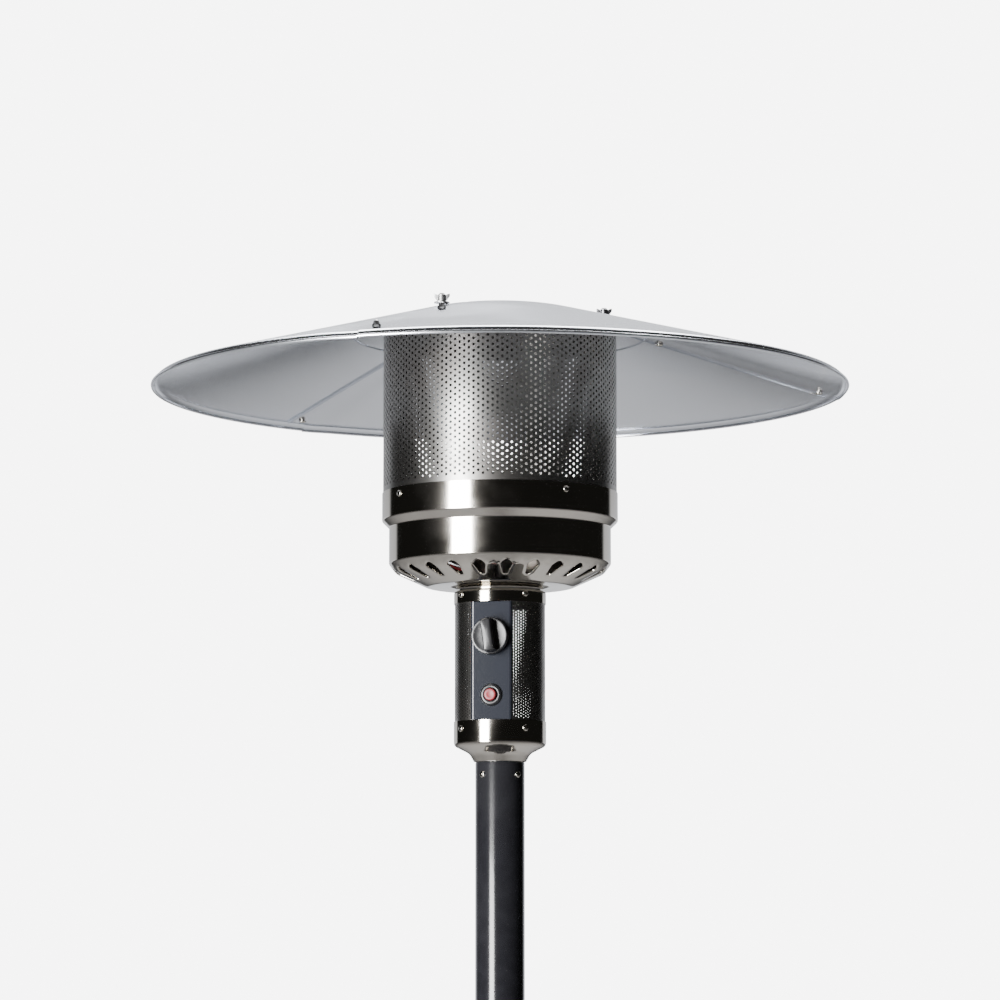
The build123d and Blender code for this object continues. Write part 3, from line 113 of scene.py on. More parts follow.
def area_light(name, azimuth, distance, height, size, power, aim_z, spread=180.0):
    """Soft box: the azimuth counts in degrees from -Y towards +X."""
    data = bpy.data.lights.new(name, "AREA")
    data.shape = "RECTANGLE"
    data.size, data.size_y = size
    data.energy = power
    data.spread = radians(spread)
    lamp = bpy.data.objects.new(name, data)
    a = radians(azimuth)
    lamp.location = (distance * sin(a), -distance * cos(a), height)
    aim = Vector((0, 0, aim_z)) - lamp.location
    lamp.rotation_euler = aim.to_track_quat("-Z", "Y").to_euler()
    lamp.visible_camera = False
    bpy.context.scene.collection.objects.link(lamp)


def set_studio():
    """Pale room with a dark flag on the camera's side, as round a polished product."""
    world = bpy.data.worlds.new("studio")
    bpy.context.scene.world = world
    world.use_nodes = True
    nodes, links = world.node_tree.nodes, world.node_tree.links
    back = nodes["Background"]
    place = nodes.new("ShaderNodeTexCoord")
    split = nodes.new("ShaderNodeSeparateXYZ")
    links.new(place.outputs["Generated"], split.inputs[0])
    flag_dark, room_pale, backdrop_white = (0.014, 0.014, 0.013), (1.15, 1.18, 1.24), (7.0, 7.0, 7.0)
    front = map_range(nodes, links, split.outputs["Y"], 0.66, 0.76, 0.0, 1.0)
    below = map_range(nodes, links, split.outputs["Z"], -0.22, -0.08, 1.0, 0.0)
    high = map_range(nodes, links, split.outputs["Z"], 0.02, 0.2, 1.0, 0.52)
    lit = maths(nodes, links, "MULTIPLY", maths(nodes, links, "MAXIMUM", front, below), high)
    ray = nodes.new("ShaderNodeLightPath")
    colour = blend(nodes, links, lit, flag_dark, room_pale)
    colour = blend(nodes, links, ray.outputs["Is Camera Ray"], colour, backdrop_white)
    links.new(colour, back.inputs["Color"])
    back.inputs["Strength"].default_value = 1.0
    area_light("strip_left", -39.0, 3.2, 1.6, (1.2, 2.0), 76.0, 1.8, 70.0)
    area_light("back_floor", 180.0, 1.9, 5.2, (3.0, 2.2), 250.0, 0.3)
    floor = bpy.data.meshes.new("floor")
    half = 14.0
    corners = [(-half, -half, 0), (half, -half, 0), (half, half, 0), (-half, half, 0)]
    floor.from_pydata(corners, [], [(0, 1, 2, 3)])
    ground = bpy.data.objects.new("floor", floor)
    bpy.context.scene.collection.objects.link(ground)
    ground.data.materials.append(floor_paint())


# Shader helpers

def maths(nodes, links, kind, a, b):
    node = nodes.new("ShaderNodeMath")
    node.operation = kind
    for socket, value in zip(node.inputs, (a, b)):
        if isinstance(value, (int, float)):
            socket.default_value = value
        else:
            links.new(value, socket)
    return node.outputs[0]


def map_range(nodes, links, value, low, high, start, end):
    node = nodes.new("ShaderNodeMapRange")
    node.interpolation_type = "SMOOTHSTEP"
    links.new(value, node.inputs["Value"])
    for name, number in (("From Min", low), ("From Max", high), ("To Min", start), ("To Max", end)):
        node.inputs[name].default_value = number
    return node.outputs["Result"]


def blend(nodes, links, factor, first, second):
    """A mix of two colours. The first may be another node's output."""
    node = nodes.new("ShaderNodeMix")
    node.data_type = "RGBA"
    links.new(factor, node.inputs["Factor"])
    if isinstance(first, tuple):
        node.inputs["A"].default_value = (*first, 1.0)
    else:
        links.new(first, node.inputs["A"])
    node.inputs["B"].default_value = (*second, 1.0)
    return node.outputs["Result"]


def new_group(name, inputs, outputs):
    tree = bpy.data.node_groups.new(name, "ShaderNodeTree")
    for label, value in inputs:
        tree.interface.new_socket(label, in_out="INPUT", socket_type="NodeSocketFloat").default_value = value
    for label in outputs:
        tree.interface.new_socket(label, in_out="OUTPUT", socket_type="NodeSocketFloat")
    source = tree.nodes.new("NodeGroupInput")
    drain = tree.nodes.new("NodeGroupOutput")
    return tree, source.outputs, drain.inputs


def place_group(nodes, tree, values):
    node = nodes.new("ShaderNodeGroup")
    node.node_tree = tree
    for label, value in values.items():
        node.inputs[label].default_value = value
    return node.outputs


def noise(nodes, links, scale, detail, vector):
    """Cloudy noise. The scale is a number or another node's output."""
    node = nodes.new("ShaderNodeTexNoise")
    node.inputs["Detail"].default_value = detail
    if isinstance(scale, (int, float)):
        node.inputs["Scale"].default_value = scale
    else:
        links.new(scale, node.inputs["Scale"])
    links.new(vector, node.inputs["Vector"])
    return node.outputs["Fac"]


def make_handling_group():
    """Smudges and dust: a soft mask for roughness, and specks that sit on top."""
    tree, given, out = new_group("handling", [("Scale", 9.0), ("Speck Scale", 420.0)], ["Smudge", "Speck"])
    nodes, links = tree.nodes, tree.links
    place = nodes.new("ShaderNodeTexCoord").outputs["Object"]
    smudge = noise(nodes, links, given["Scale"], 5.0, place)
    links.new(map_range(nodes, links, smudge, 0.42, 0.68, 0.0, 1.0), out["Smudge"])
    speck = noise(nodes, links, given["Speck Scale"], 2.0, place)
    links.new(map_range(nodes, links, speck, 0.66, 0.76, 0.0, 1.0), out["Speck"])
    return tree


def make_spun_group():
    """Fine lines round the post's axis, as spinning and polishing leave on sheet."""
    tree, given, out = new_group("spun_lines", [("Line Scale", 900.0)], ["Height"])
    nodes, links = tree.nodes, tree.links
    place = nodes.new("ShaderNodeTexCoord").outputs["Object"]
    split = nodes.new("ShaderNodeSeparateXYZ")
    links.new(place, split.inputs[0])
    squares = [maths(nodes, links, "MULTIPLY", split.outputs[k], split.outputs[k]) for k in ("X", "Y")]
    radius = maths(nodes, links, "SQRT", maths(nodes, links, "ADD", *squares), 0.0)
    along = maths(nodes, links, "ADD", radius, split.outputs["Z"])
    lines = nodes.new("ShaderNodeTexNoise")
    lines.noise_dimensions = "1D"
    lines.inputs["Detail"].default_value = 3.0
    links.new(maths(nodes, links, "MULTIPLY", along, given["Line Scale"]), lines.inputs["W"])
    lines.inputs["Scale"].default_value = 1.0
    links.new(lines.outputs["Fac"], out["Height"])
    return tree


def make_wear_group():
    """Rubbed edges, from how sharply the surface turns, broken up by noise."""
    tree, given, out = new_group("edge_wear", [("Amount", 0.5), ("Scale", 60.0)], ["Mask"])
    nodes, links = tree.nodes, tree.links
    bend = nodes.new("ShaderNodeNewGeometry").outputs["Pointiness"]
    edge = map_range(nodes, links, bend, 0.53, 0.62, 0.0, 1.0)
    place = nodes.new("ShaderNodeTexCoord").outputs["Object"]
    patch = noise(nodes, links, given["Scale"], 4.0, place)
    patch = map_range(nodes, links, patch, 0.35, 0.65, 0.0, 1.0)
    broken_edge = maths(nodes, links, "MULTIPLY", edge, patch)
    links.new(maths(nodes, links, "MULTIPLY", broken_edge, given["Amount"]), out["Mask"])
    return tree


HANDLING = make_handling_group()
SPUN = make_spun_group()
WEAR = make_wear_group()
DUST_COLOUR = (0.5, 0.48, 0.45)


def finish_material(name, colour, second, roughness, spread=0.08, metallic=0.0, lines=0.0, bumps=0.0,
                    bump_scale=300.0, wear=0.0, worn=(0.5, 0.5, 0.5), coat=0.0, scale=9.0, dust=0.0):
    """One finish: colour that drifts to a second one, smudged roughness, fine relief and rubbed edges."""
    material = bpy.data.materials.new(name)
    material.use_nodes = True
    nodes, links = material.node_tree.nodes, material.node_tree.links
    shader = nodes["Principled BSDF"]
    handling = place_group(nodes, HANDLING, {"Scale": scale})
    tint = blend(nodes, links, handling["Smudge"], colour, second)
    if wear:
        mask = place_group(nodes, WEAR, {"Amount": wear})["Mask"]
        tint = blend(nodes, links, mask, tint, worn)
    if dust:
        dusty = maths(nodes, links, "MULTIPLY", handling["Speck"], dust)
        tint = blend(nodes, links, dusty, tint, DUST_COLOUR)
    links.new(tint, shader.inputs["Base Color"])
    rough = map_range(nodes, links, handling["Smudge"], 0.0, 1.0, roughness, roughness + spread)
    links.new(rough, shader.inputs["Roughness"])
    shader.inputs["Metallic"].default_value = metallic
    shader.inputs["Coat Weight"].default_value = coat
    shader.inputs["Coat Roughness"].default_value = 0.06
    height = None
    if lines:
        spun = place_group(nodes, SPUN, {})["Height"]
        height = maths(nodes, links, "MULTIPLY", spun, lines)
    if bumps:
        place = nodes.new("ShaderNodeTexCoord").outputs["Object"]
        relief = maths(nodes, links, "MULTIPLY", noise(nodes, links, bump_scale, 3.0, place), bumps)
        height = relief if height is None else maths(nodes, links, "ADD", height, relief)
    if height is not None:
        bump = nodes.new("ShaderNodeBump")
        bump.inputs["Strength"].default_value = 1.0
        bump.inputs["Distance"].default_value = MM
        links.new(height, bump.inputs["Height"])
        links.new(bump.outputs["Normal"], shader.inputs["Normal"])
    return material


def floor_paint():
    return finish_material("floor_paint", (0.86, 0.86, 0.87), (0.82, 0.82, 0.83), 0.75, scale=0.6)


def make_finishes():
    """Every finish by its slot in the record."""
    return {
        "polished_steel": finish_material(
            "dark_polished_steel", (0.50, 0.47, 0.42), (0.46, 0.43, 0.39),
            roughness=0.09, spread=0.05, metallic=1.0, lines=0.02, scale=14.0),
        "perforated_steel": finish_material(
            "screen_steel", (0.25, 0.245, 0.235), (0.20, 0.19, 0.18),
            roughness=0.28, spread=0.04, metallic=1.0, lines=0.03, scale=18.0),
        "reflector_sheet": finish_material(
            "reflector_sheet", (0.80, 0.82, 0.87), (0.76, 0.785, 0.84),
            roughness=0.22, spread=0.05, metallic=1.0, lines=0.02, scale=5.0),
        "black_paint": finish_material(
            "black_gloss_paint", (0.010, 0.010, 0.012), (0.014, 0.014, 0.016),
            roughness=0.17, spread=0.03, bumps=0.008, wear=0.15, worn=(0.06, 0.06, 0.07), coat=0.4,
            dust=0.02),
        "panel_steel": finish_material(
            "panel_paint", (0.020, 0.022, 0.029), (0.016, 0.018, 0.024),
            roughness=0.10, spread=0.01, metallic=0.2, bumps=0.002, scale=24.0),
        "black_plastic": finish_material(
            "moulded_black", (0.008, 0.008, 0.009), (0.014, 0.014, 0.015),
            roughness=0.30, spread=0.08, bumps=0.05, bump_scale=900.0, wear=0.4, worn=(0.06, 0.06, 0.06),
            scale=40.0, dust=0.25),
        "red_plastic": finish_material(
            "moulded_red", (0.20, 0.003, 0.009), (0.16, 0.002, 0.007),
            roughness=0.42, spread=0.05, bumps=0.02, bump_scale=700.0, scale=60.0),
        "tyre_rubber": finish_material(
            "tyre_rubber", (0.020, 0.020, 0.020), (0.045, 0.043, 0.040),
            roughness=0.70, spread=0.15, bumps=0.08, bump_scale=600.0, wear=0.6, worn=(0.12, 0.115, 0.11),
            dust=0.6),
        "lead_rubber": finish_material(
            "silicone_sleeve", (0.28, 0.02, 0.02), (0.2, 0.02, 0.02),
            roughness=0.5, bumps=0.02),
        "zinc_steel": finish_material(
            "zinc_plate", (0.56, 0.57, 0.60), (0.50, 0.50, 0.50),
            roughness=0.30, spread=0.12, metallic=1.0, bumps=0.03, wear=0.4, worn=(0.75, 0.75, 0.76),
            scale=50.0),
        "plated_steel": finish_material(
            "satin_plate", (0.50, 0.49, 0.47), (0.38, 0.33, 0.29),
            roughness=0.32, spread=0.14, metallic=1.0, lines=0.03, scale=22.0),
        "cast_alloy": finish_material(
            "cast_alloy", (0.58, 0.58, 0.59), (0.50, 0.50, 0.50),
            roughness=0.42, spread=0.1, metallic=1.0, bumps=0.10),
        "valve_steel": finish_material(
            "turned_steel", (0.6, 0.6, 0.6), (0.5, 0.5, 0.5),
            roughness=0.25, spread=0.1, metallic=1.0, bumps=0.01),
        "brass": finish_material(
            "turned_brass", (0.74, 0.54, 0.23), (0.58, 0.40, 0.17),
            roughness=0.24, spread=0.12, metallic=1.0, bumps=0.01),
        "copper": finish_material(
            "drawn_copper", (0.72, 0.36, 0.21), (0.48, 0.22, 0.13),
            roughness=0.3, spread=0.14, metallic=1.0, bumps=0.01),
        "ballast_iron": finish_material(
            "cast_iron", (0.05, 0.05, 0.052), (0.08, 0.06, 0.05),
            roughness=0.6, spread=0.15, metallic=0.7, bumps=0.3),
        "insulator": finish_material(
            "glazed_ceramic", (0.82, 0.80, 0.75), (0.74, 0.71, 0.66),
            roughness=0.18, spread=0.1, bumps=0.01)}


# Mesh helpers. Every shape is a heap of quads, welded where corners meet.

WELD_DIGITS = 7


def build(name, quads, body, slot, replaces, crease=32.0):
    """Makes a piece from quads of shape (n, 4, 3), puts it on a body and gives it a finish."""
    corners = np.concatenate([np.asarray(q, float).reshape(-1, 4, 3) for q in quads])
    flat = np.round(corners.reshape(-1, 3), WELD_DIGITS)
    points, index = np.unique(flat, axis=0, return_inverse=True)
    faces = []
    for face in index.reshape(-1, 4):
        face_corners = list(dict.fromkeys(face.tolist()))
        if len(face_corners) > 2:
            faces.append(face_corners)
    mesh = bpy.data.meshes.new(name)
    mesh.from_pydata(points.tolist(), [], faces)
    mesh.validate()
    mesh.shade_smooth()
    mesh.set_sharp_from_angle(angle=radians(crease))
    piece = bpy.data.objects.new(name, mesh)
    bpy.context.scene.collection.objects.link(piece)
    piece.data.materials.append(FINISH[slot])
    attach(piece, body)
    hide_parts(*replaces)
    return piece


def rounded(points, radii, steps):
    """A path with its inner corners rounded, each by a curve of its own radius."""
    path = [Vector(points[0])]
    for before, corner, after, radius in zip(points, points[1:], points[2:], radii):
        a, b = (Vector(before) - Vector(corner)), (Vector(after) - Vector(corner))
        turn = pi - a.angle(b)
        cut = min(radius * tan(turn / 2), 0.49 * a.length, 0.49 * b.length)
        middle = Vector(corner)
        start, end = middle + a.normalized() * cut, middle + b.normalized() * cut
        for i in range(steps + 1):
            t = i / steps
            path.append(start.lerp(middle, t).lerp(middle.lerp(end, t), t))
    path.append(Vector(points[-1]))
    return path


def thickened(path, thickness):
    """A closed outline round a path of (radius, height) points."""
    points = np.array([tuple(p) for p in path])
    apart = np.linalg.norm(np.diff(points, axis=0), axis=1) > 0.001 * MM
    points = points[np.append(True, apart)]
    ahead = np.gradient(points, axis=0)
    ahead /= np.linalg.norm(ahead, axis=1)[:, None]
    side = np.stack([-ahead[:, 1], ahead[:, 0]], 1) * thickness / 2
    return np.concatenate([points + side, (points - side)[::-1]])


def lathe(outline, steps=192, first=0.0, arc=360.0, closed=True):
    """Quads of an outline of (radius, height) points turned about the post's axis."""
    ring = np.array([tuple(p) for p in outline])
    if closed:
        ring = np.concatenate([ring, ring[:1]])
    angles = np.radians(first + arc * np.arange(steps + 1) / steps - 90.0)
    grid = np.stack([
        ring[None, :, 0] * np.cos(angles)[:, None], ring[None, :, 0] * np.sin(angles)[:, None],
        np.broadcast_to(ring[None, :, 1], (steps + 1, len(ring)))], 2)
    if arc == 360.0:
        grid[-1] = grid[0]
    return np.stack([grid[:-1, :-1], grid[1:, :-1], grid[1:, 1:], grid[:-1, 1:]], 2)


def moved(quads, matrix):
    """The same quads, carried by a matrix."""
    m = np.array(matrix)
    q = np.asarray(quads, float).reshape(-1, 4, 3)
    return q @ m[:3, :3].T + m[:3, 3]


def facing(azimuth, radius, height, spin=0.0):
    """A matrix whose Z points away from the axis at an azimuth in degrees from -Y."""
    a = radians(azimuth)
    out = Vector((sin(a), -cos(a), 0))
    turn = Matrix((Vector((cos(a), sin(a), 0)), Vector((0, 0, 1)), out)).transposed().to_4x4()
    return Matrix.Translation(out * radius + Vector((0, 0, height))) @ turn @ Matrix.Rotation(spin, 4, "Z")


def upright(azimuth, radius, height, spin):
    """A matrix whose Z points up, at an azimuth and radius, turned about itself by the spin."""
    a = radians(azimuth)
    place = Matrix.Translation((radius * sin(a), -radius * cos(a), height))
    return place @ Matrix.Rotation(a + spin, 4, "Z")


def fan(ring, apex):
    """Closes a ring of points with quads to an apex."""
    ring = np.asarray(ring)
    after = np.roll(ring, -1, axis=0)
    top = np.broadcast_to(np.asarray(apex, float), ring.shape)
    return np.stack([ring, after, top, top], 1)


def skin(rings):
    """Quads between closed rings of equal length."""
    quads = []
    for low, high in zip(rings, rings[1:]):
        low, high = np.asarray(low, float), np.asarray(high, float)
        quads.append(np.stack([low, np.roll(low, -1, 0), np.roll(high, -1, 0), high], 1))
    return np.concatenate(quads)


def loop(flat_points, z):
    return np.array([(x, y, z) for x, y in flat_points])


def circle(radius, sides):
    return [(radius * cos(2 * pi * i / sides), radius * sin(2 * pi * i / sides)) for i in range(sides)]


def round_rings(rows, sides):
    """Round rings from (radius, height) pairs in millimetres."""
    return [loop(circle(radius * MM, sides), height * MM) for radius, height in rows]


# Screws and nuts

def cross_screw(head_r, head_h, sides=24):
    """Domed head with a pressed cross, standing on z = 0, with a short collar below."""
    profile = ((0.6, -1.0), (0.62, 0.0), (1.0, 0.0), (1.0, 0.35), (0.93, 0.68), (0.76, 0.93))
    rings = [loop(circle(head_r * wide, sides), head_h * high) for wide, high in profile]
    arm, waist = head_r * 0.56, head_r * 0.14
    cross = []
    for i in range(sides):
        a = 2 * pi * i / sides
        lobe = abs(cos(2 * a)) ** 6
        radius = waist + (arm - waist) * lobe
        cross.append((radius * cos(a), radius * sin(a)))
    rings += [loop(cross, head_h), loop([(x * 0.8, y * 0.8) for x, y in cross], head_h * 0.35)]
    return np.concatenate([skin(rings), fan(rings[-1], (0, 0, head_h * 0.25))])


def domed_nut(radius, height, sides=24):
    """Hexagon with chamfered corners under a dome."""
    def hexagon(scale):
        points = []
        for i in range(sides):
            a = 2 * pi * i / sides
            inner = cos(pi / 6) / cos((a % (pi / 3)) - pi / 6)
            r = radius * scale * inner
            points.append((r * cos(a), r * sin(a)))
        return points
    rings = [loop(hexagon(0.93), 0), loop(hexagon(1.0), height * 0.06), loop(hexagon(1.0), height * 0.36),
             loop(hexagon(0.92), height * 0.44), loop(circle(radius * 0.78, sides), height * 0.46)]
    for share in (0.35, 0.65, 0.85, 0.97):
        a = share * pi / 2
        rings.append(loop(circle(radius * 0.78 * cos(a), sides), height * (0.46 + 0.54 * sin(a))))
    return np.concatenate([skin(rings), fan(rings[-1], (0, 0, height))])


def wing_nut():
    """Two cast wings on a tall hub with a washer face."""
    hub = [(3.1, 0), (9, 0), (9, 1.2), (4.8, 1.5), (4.6, 9.8), (3.1, 10.6)]
    wing = [(3.6, 1.8, 8.4, 1.2), (6.0, 3.6, 10.2, 1.1), (8.0, 6.2, 10.8, 1.0), (9.2, 8.2, 10.9, 0.7)]
    parts = [lathe([(radius * MM, z * MM) for radius, z in hub], 24).reshape(-1, 4, 3)]
    for side in (-1, 1):
        rings = []
        for out, low, high, thick in wing:
            corners = [(-thick, low), (thick, low), (thick, high), (-thick, high)]
            rings.append(np.array([(side * out * MM, x * MM, z * MM) for x, z in corners]))
        parts += [skin(rings), rings[-1][None], rings[0][None]]
    return np.concatenate(parts)


def even_azimuths(first, count):
    return [first + 360.0 * i / count for i in range(count)]


def make_head_screws():
    """The screws of the bowl's rim, the control housing and the post's top."""
    head = cross_screw(3.8 * MM, 1.8 * MM)
    rows = [(CUP_R, CUP_TOP - 9.1 * MM, SCREW_TURN), (CUP_R, CAP_BOTTOM + 9.3 * MM, SCREW_TURN),
            (BOWL_R, BOWL_TOP - 8 * MM, SCREW_TURN), (POST_R, POST_TOP - 15 * MM, 45.0)]
    quads = []
    for radius, z, first in rows:
        for i, azimuth in enumerate(even_azimuths(first, 4)):
            quads.append(moved(head, facing(azimuth, radius - 0.1 * MM, z, 0.7 * i + z)))
    build("head_screw_heads", quads, "frame", "polished_steel", ["head_screws"])


SEAM_RINGS = (191 * MM, 385 * MM)
STUD_RING = 122 * MM
STUD_RISE = 3.0 * MM
SLOPE = tan(radians(15.2))
CROWN_FLAT = 80 * MM
CONE_OUT = 401 * MM
LAP_DROP = 0.98 * MM
HEM = 2.2 * MM


def dome_z(radius):
    """Height of the reflector's middle plane: a flat crown, then a straight cone."""
    return CROWN_Z - max(min(radius, CONE_OUT) - CROWN_FLAT, 0.0) * SLOPE


def make_reflector_fixings():
    """Cap nuts on the seams, screw heads under them, and wing nuts on the three studs."""
    nuts, heads = [], []
    for azimuth in even_azimuths(SEAM_TURN + LAP_ARC / 2, 3):
        for i, radius in enumerate(SEAM_RINGS):
            top = dome_z(radius) + 0.8 * MM
            nuts.append(moved(domed_nut(4.8 * MM, 8.6 * MM), upright(azimuth, radius, top, 0.4 + i)))
            under = dome_z(radius) - 2.9 * MM
            flip = upright(azimuth, radius, under, 0.3 + i) @ Matrix.Rotation(pi, 4, "X")
            heads.append(moved(cross_screw(4.4 * MM, 2.0 * MM), flip))
    build("seam_cap_nuts", nuts, "frame", "zinc_steel", ["seam_nuts"])
    build("seam_screw_heads", heads, "frame", "polished_steel", ["seam_screws"])
    wings = []
    for i, azimuth in enumerate(even_azimuths(STUD_TURN, 3)):
        place = upright(azimuth, STUD_RING, dome_z(STUD_RING) + STUD_RISE, 0.5 + 1.1 * i)
        wings.append(moved(wing_nut(), place))
    build("stud_wing_nuts", wings, "frame", "zinc_steel", ["wing_nuts"])


# Reflector

def settled(quads, seam):
    """Lets a sheet sink towards its lap, and turns the lap's free edge down."""
    q = np.concatenate([np.asarray(part, float).reshape(-1, 4, 3) for part in quads])
    azimuth = np.degrees(np.arctan2(q[..., 0], -q[..., 1]))
    past = (azimuth - seam + 180.0) % 360.0 - 180.0
    near = np.clip(past / 7.0 + 1.0, 0.0, 1.0)
    edge = np.clip((past - LAP_ARC) * 10.0 + 1.0, 0.0, 1.0)
    q[..., 2] -= LAP_DROP * near * near * (3 - 2 * near) + HEM * edge
    return q


def end_face(outline, azimuth):
    """Closes the cut end of a bent sheet."""
    a = radians(azimuth)
    points = np.array([(r * sin(a), -r * cos(a), z) for r, z in outline])
    top, under = points[:len(points) // 2], points[len(points) // 2:][::-1]
    return np.stack([top[:-1], top[1:], under[1:], under[:-1]], 1)


def make_reflector():
    """Three sheets, each lapped under the next, with a turned-down lip and a rolled bead."""
    bead_r = 2.0 * MM
    edge = (RIM_R - bead_r, RIM_Z + bead_r)
    path = rounded([(24 * MM, CROWN_Z), (CROWN_FLAT, CROWN_Z), (CONE_OUT, dome_z(CONE_OUT)), edge],
                   [160 * MM, 9 * MM], 12)
    cone_start, cone_end = 13, 14
    cone = [path[cone_start].lerp(path[cone_end], t) for t in (0.2, 0.4, 0.6, 0.8)]
    inner_part = path[:cone_end] + cone
    main = thickened(inner_part + path[cone_end:], SHEET_T)
    lap = thickened(inner_part + path[cone_end:cone_end + 1], SHEET_T)
    lip = thickened(path[cone_end + 1:], SHEET_T)
    bead_turns = np.linspace(0, 2 * pi, 13)[:-1]
    bead = [(edge[0] + bead_r * cos(a), edge[1] + bead_r * sin(a)) for a in bead_turns]
    for letter, seam in zip("abc", even_azimuths(SEAM_TURN, 3)):
        quads = [lathe(main, 96, seam - 120.0, 120.0), lathe(bead, 96, seam - 120.0, 120.0),
                 lathe(lap, 40, seam, LAP_ARC), end_face(main, seam - 120.0), end_face(lip, seam),
                 end_face(lap, seam + LAP_ARC)]
        build(f"reflector_sheet_{letter}", [settled(quads, seam)], "frame", "reflector_sheet",
              [f"reflector_sector_{letter}"], 25.0)
    crown, disc_r = CROWN_Z - 2 * LAP_DROP, 173 * MM
    rim = dome_z(disc_r) - 2 * LAP_DROP
    disc = rounded([(0.0, crown), (CROWN_FLAT, crown), (disc_r, rim), (disc_r + 0.6 * MM, rim - HEM)],
                   [160 * MM, 0.8 * MM], 12)
    build("reflector_centre_disc", [lathe(thickened(disc, SHEET_T), 144)], "frame", "reflector_sheet",
          ["reflector_centre"])


# Perforated sheet

def perforated(radius, thickness, low, high, margins, columns, pitch, hole_r, first=0.0, arc=360.0):
    """Quads of a wrapped sheet with staggered round holes between two plain margins."""
    column_w = radians(arc) * radius / columns
    field_low, field_high = low + margins[0], high - margins[1]
    rows = int((field_high - field_low) / pitch) - 1
    start = (field_low + field_high - (rows + 0.5) * pitch) / 2 + pitch / 2
    corners = np.array([(-1, -1), (0, -1), (1, -1), (1, 0), (1, 1), (0, 1), (-1, 1), (-1, 0)], float)
    square = corners * (column_w / 2, pitch / 2)
    angles = np.arctan2(square[:, 1], square[:, 0])
    round_hole = np.stack([np.cos(angles), np.sin(angles)], 1) * hole_r
    cell = np.stack([square, np.roll(square, -1, 0), np.roll(round_hole, -1, 0), round_hole], 1)
    column = np.arange(columns)
    middle_x = (column + 0.5) * column_w
    middle_z = start + np.arange(rows)[None, :] * pitch + (column[:, None] % 2) * pitch / 2
    centres = np.stack([np.broadcast_to(middle_x[:, None], middle_z.shape), middle_z], 2).reshape(-1, 1, 1, 2)
    face = (cell[None] + centres).reshape(-1, 4, 2)
    rim = (np.stack([round_hole, np.roll(round_hole, -1, 0)], 1)[None] + centres).reshape(-1, 2, 2)
    bottom, top = start - pitch / 2, start + (rows - 0.5) * pitch + pitch / 2
    flats = []
    for i in range(columns):
        odd = i % 2
        edge_low, edge_high = bottom + odd * pitch / 2, top - (1 - odd) * pitch / 2
        for x0 in (i * column_w, (i + 0.5) * column_w):
            x1 = x0 + column_w / 2
            for z0, z1 in ((low, bottom), (bottom, edge_low), (edge_high, top), (top, high)):
                if z1 - z0 > 0.0001 * MM:
                    flats.append([(x0, z0), (x1, z0), (x1, z1), (x0, z1)])
    face = np.concatenate([face, np.array(flats)])

    def wrap(points, r):
        """Bends flat (along, height) points onto the cylinder."""
        a = points[..., 0] / radius + radians(first - 90.0)
        return np.stack([r * np.cos(a), r * np.sin(a), points[..., 1]], -1)

    inner_r = radius - thickness
    walls = np.stack([wrap(rim[:, 0], radius), wrap(rim[:, 1], radius),
                      wrap(rim[:, 1], inner_r), wrap(rim[:, 0], inner_r)], 1)
    quads = [wrap(face, radius), wrap(face, inner_r)[:, ::-1], walls[:, ::-1]]
    edges = [lathe([(inner_r, z), (radius, z)], 2 * columns, first, arc, closed=False) for z in (low, high)]
    if arc < 360.0:
        for x in (0.0, columns * column_w):
            points = np.array([(x, z) for z in np.linspace(low, high, 3)])
            outer, inner = wrap(points, radius), wrap(points, inner_r)
            edges.append(np.stack([outer[:-1], outer[1:], inner[1:], inner[:-1]], 1))
    return quads + edges


def make_screen():
    """Emitter screen: one row of fine holes over another from the bowl's band to the lid."""
    margins = (16 * MM, 8 * MM)
    quads = perforated(SCREEN_R, SCREEN_T, SCREEN_BOTTOM, SCREEN_TOP, margins, 156, 7.0 * MM, 1.65 * MM)
    build("perforated_screen", quads, "frame", "perforated_steel", ["emitter_screen"])


def make_cover():
    """Control housing's cover: fine holes all round, open in front for the panel."""
    radius = reach("housing_cover")
    low, high = low_z("housing_cover"), high_z("housing_cover")
    half_open = np.degrees(np.arcsin(24.1 * MM / radius))
    margins = (CUP_TOP - low, high - CAP_BOTTOM)
    quads = perforated(radius, SCREEN_T, low, high, margins, 86, 3.3 * MM, 0.85 * MM,
                       np.degrees(CONTROL_TURN) + half_open, 360.0 - 2 * half_open)
    build("perforated_cover", quads, "frame", "perforated_steel", ["housing_cover"])


# Burner bowl

def bowl_path():
    """Middle line of the bowl's sheet, from the collar out, over the step and up to the rim."""
    half = SHEET_T / 2
    low_r, high_r = 129 * MM - half, BOWL_R - half
    knee_z, low_edge = BOWL_BOTTOM + 17 * MM, BOWL_BOTTOM + 27 * MM
    step_z = low_edge + 42 * MM
    points = [(46 * MM, BOWL_BOTTOM + half), (85 * MM, BOWL_BOTTOM + half), (121 * MM, knee_z),
              (low_r, low_edge), (low_r, step_z), (high_r, step_z + 8 * MM), (high_r, BOWL_TOP)]
    return rounded(points, [14 * MM, 9 * MM, 4 * MM, 3 * MM, 3 * MM], 8)


SLOTS = 24
SLOT_FIRST = 3.5
SLOT_FIELD = (92 * MM, 127.2 * MM)
SLOT_SPAN = (97 * MM, 124 * MM)
SLOT_WIDTHS = (7.5 * MM, 13.5 * MM)


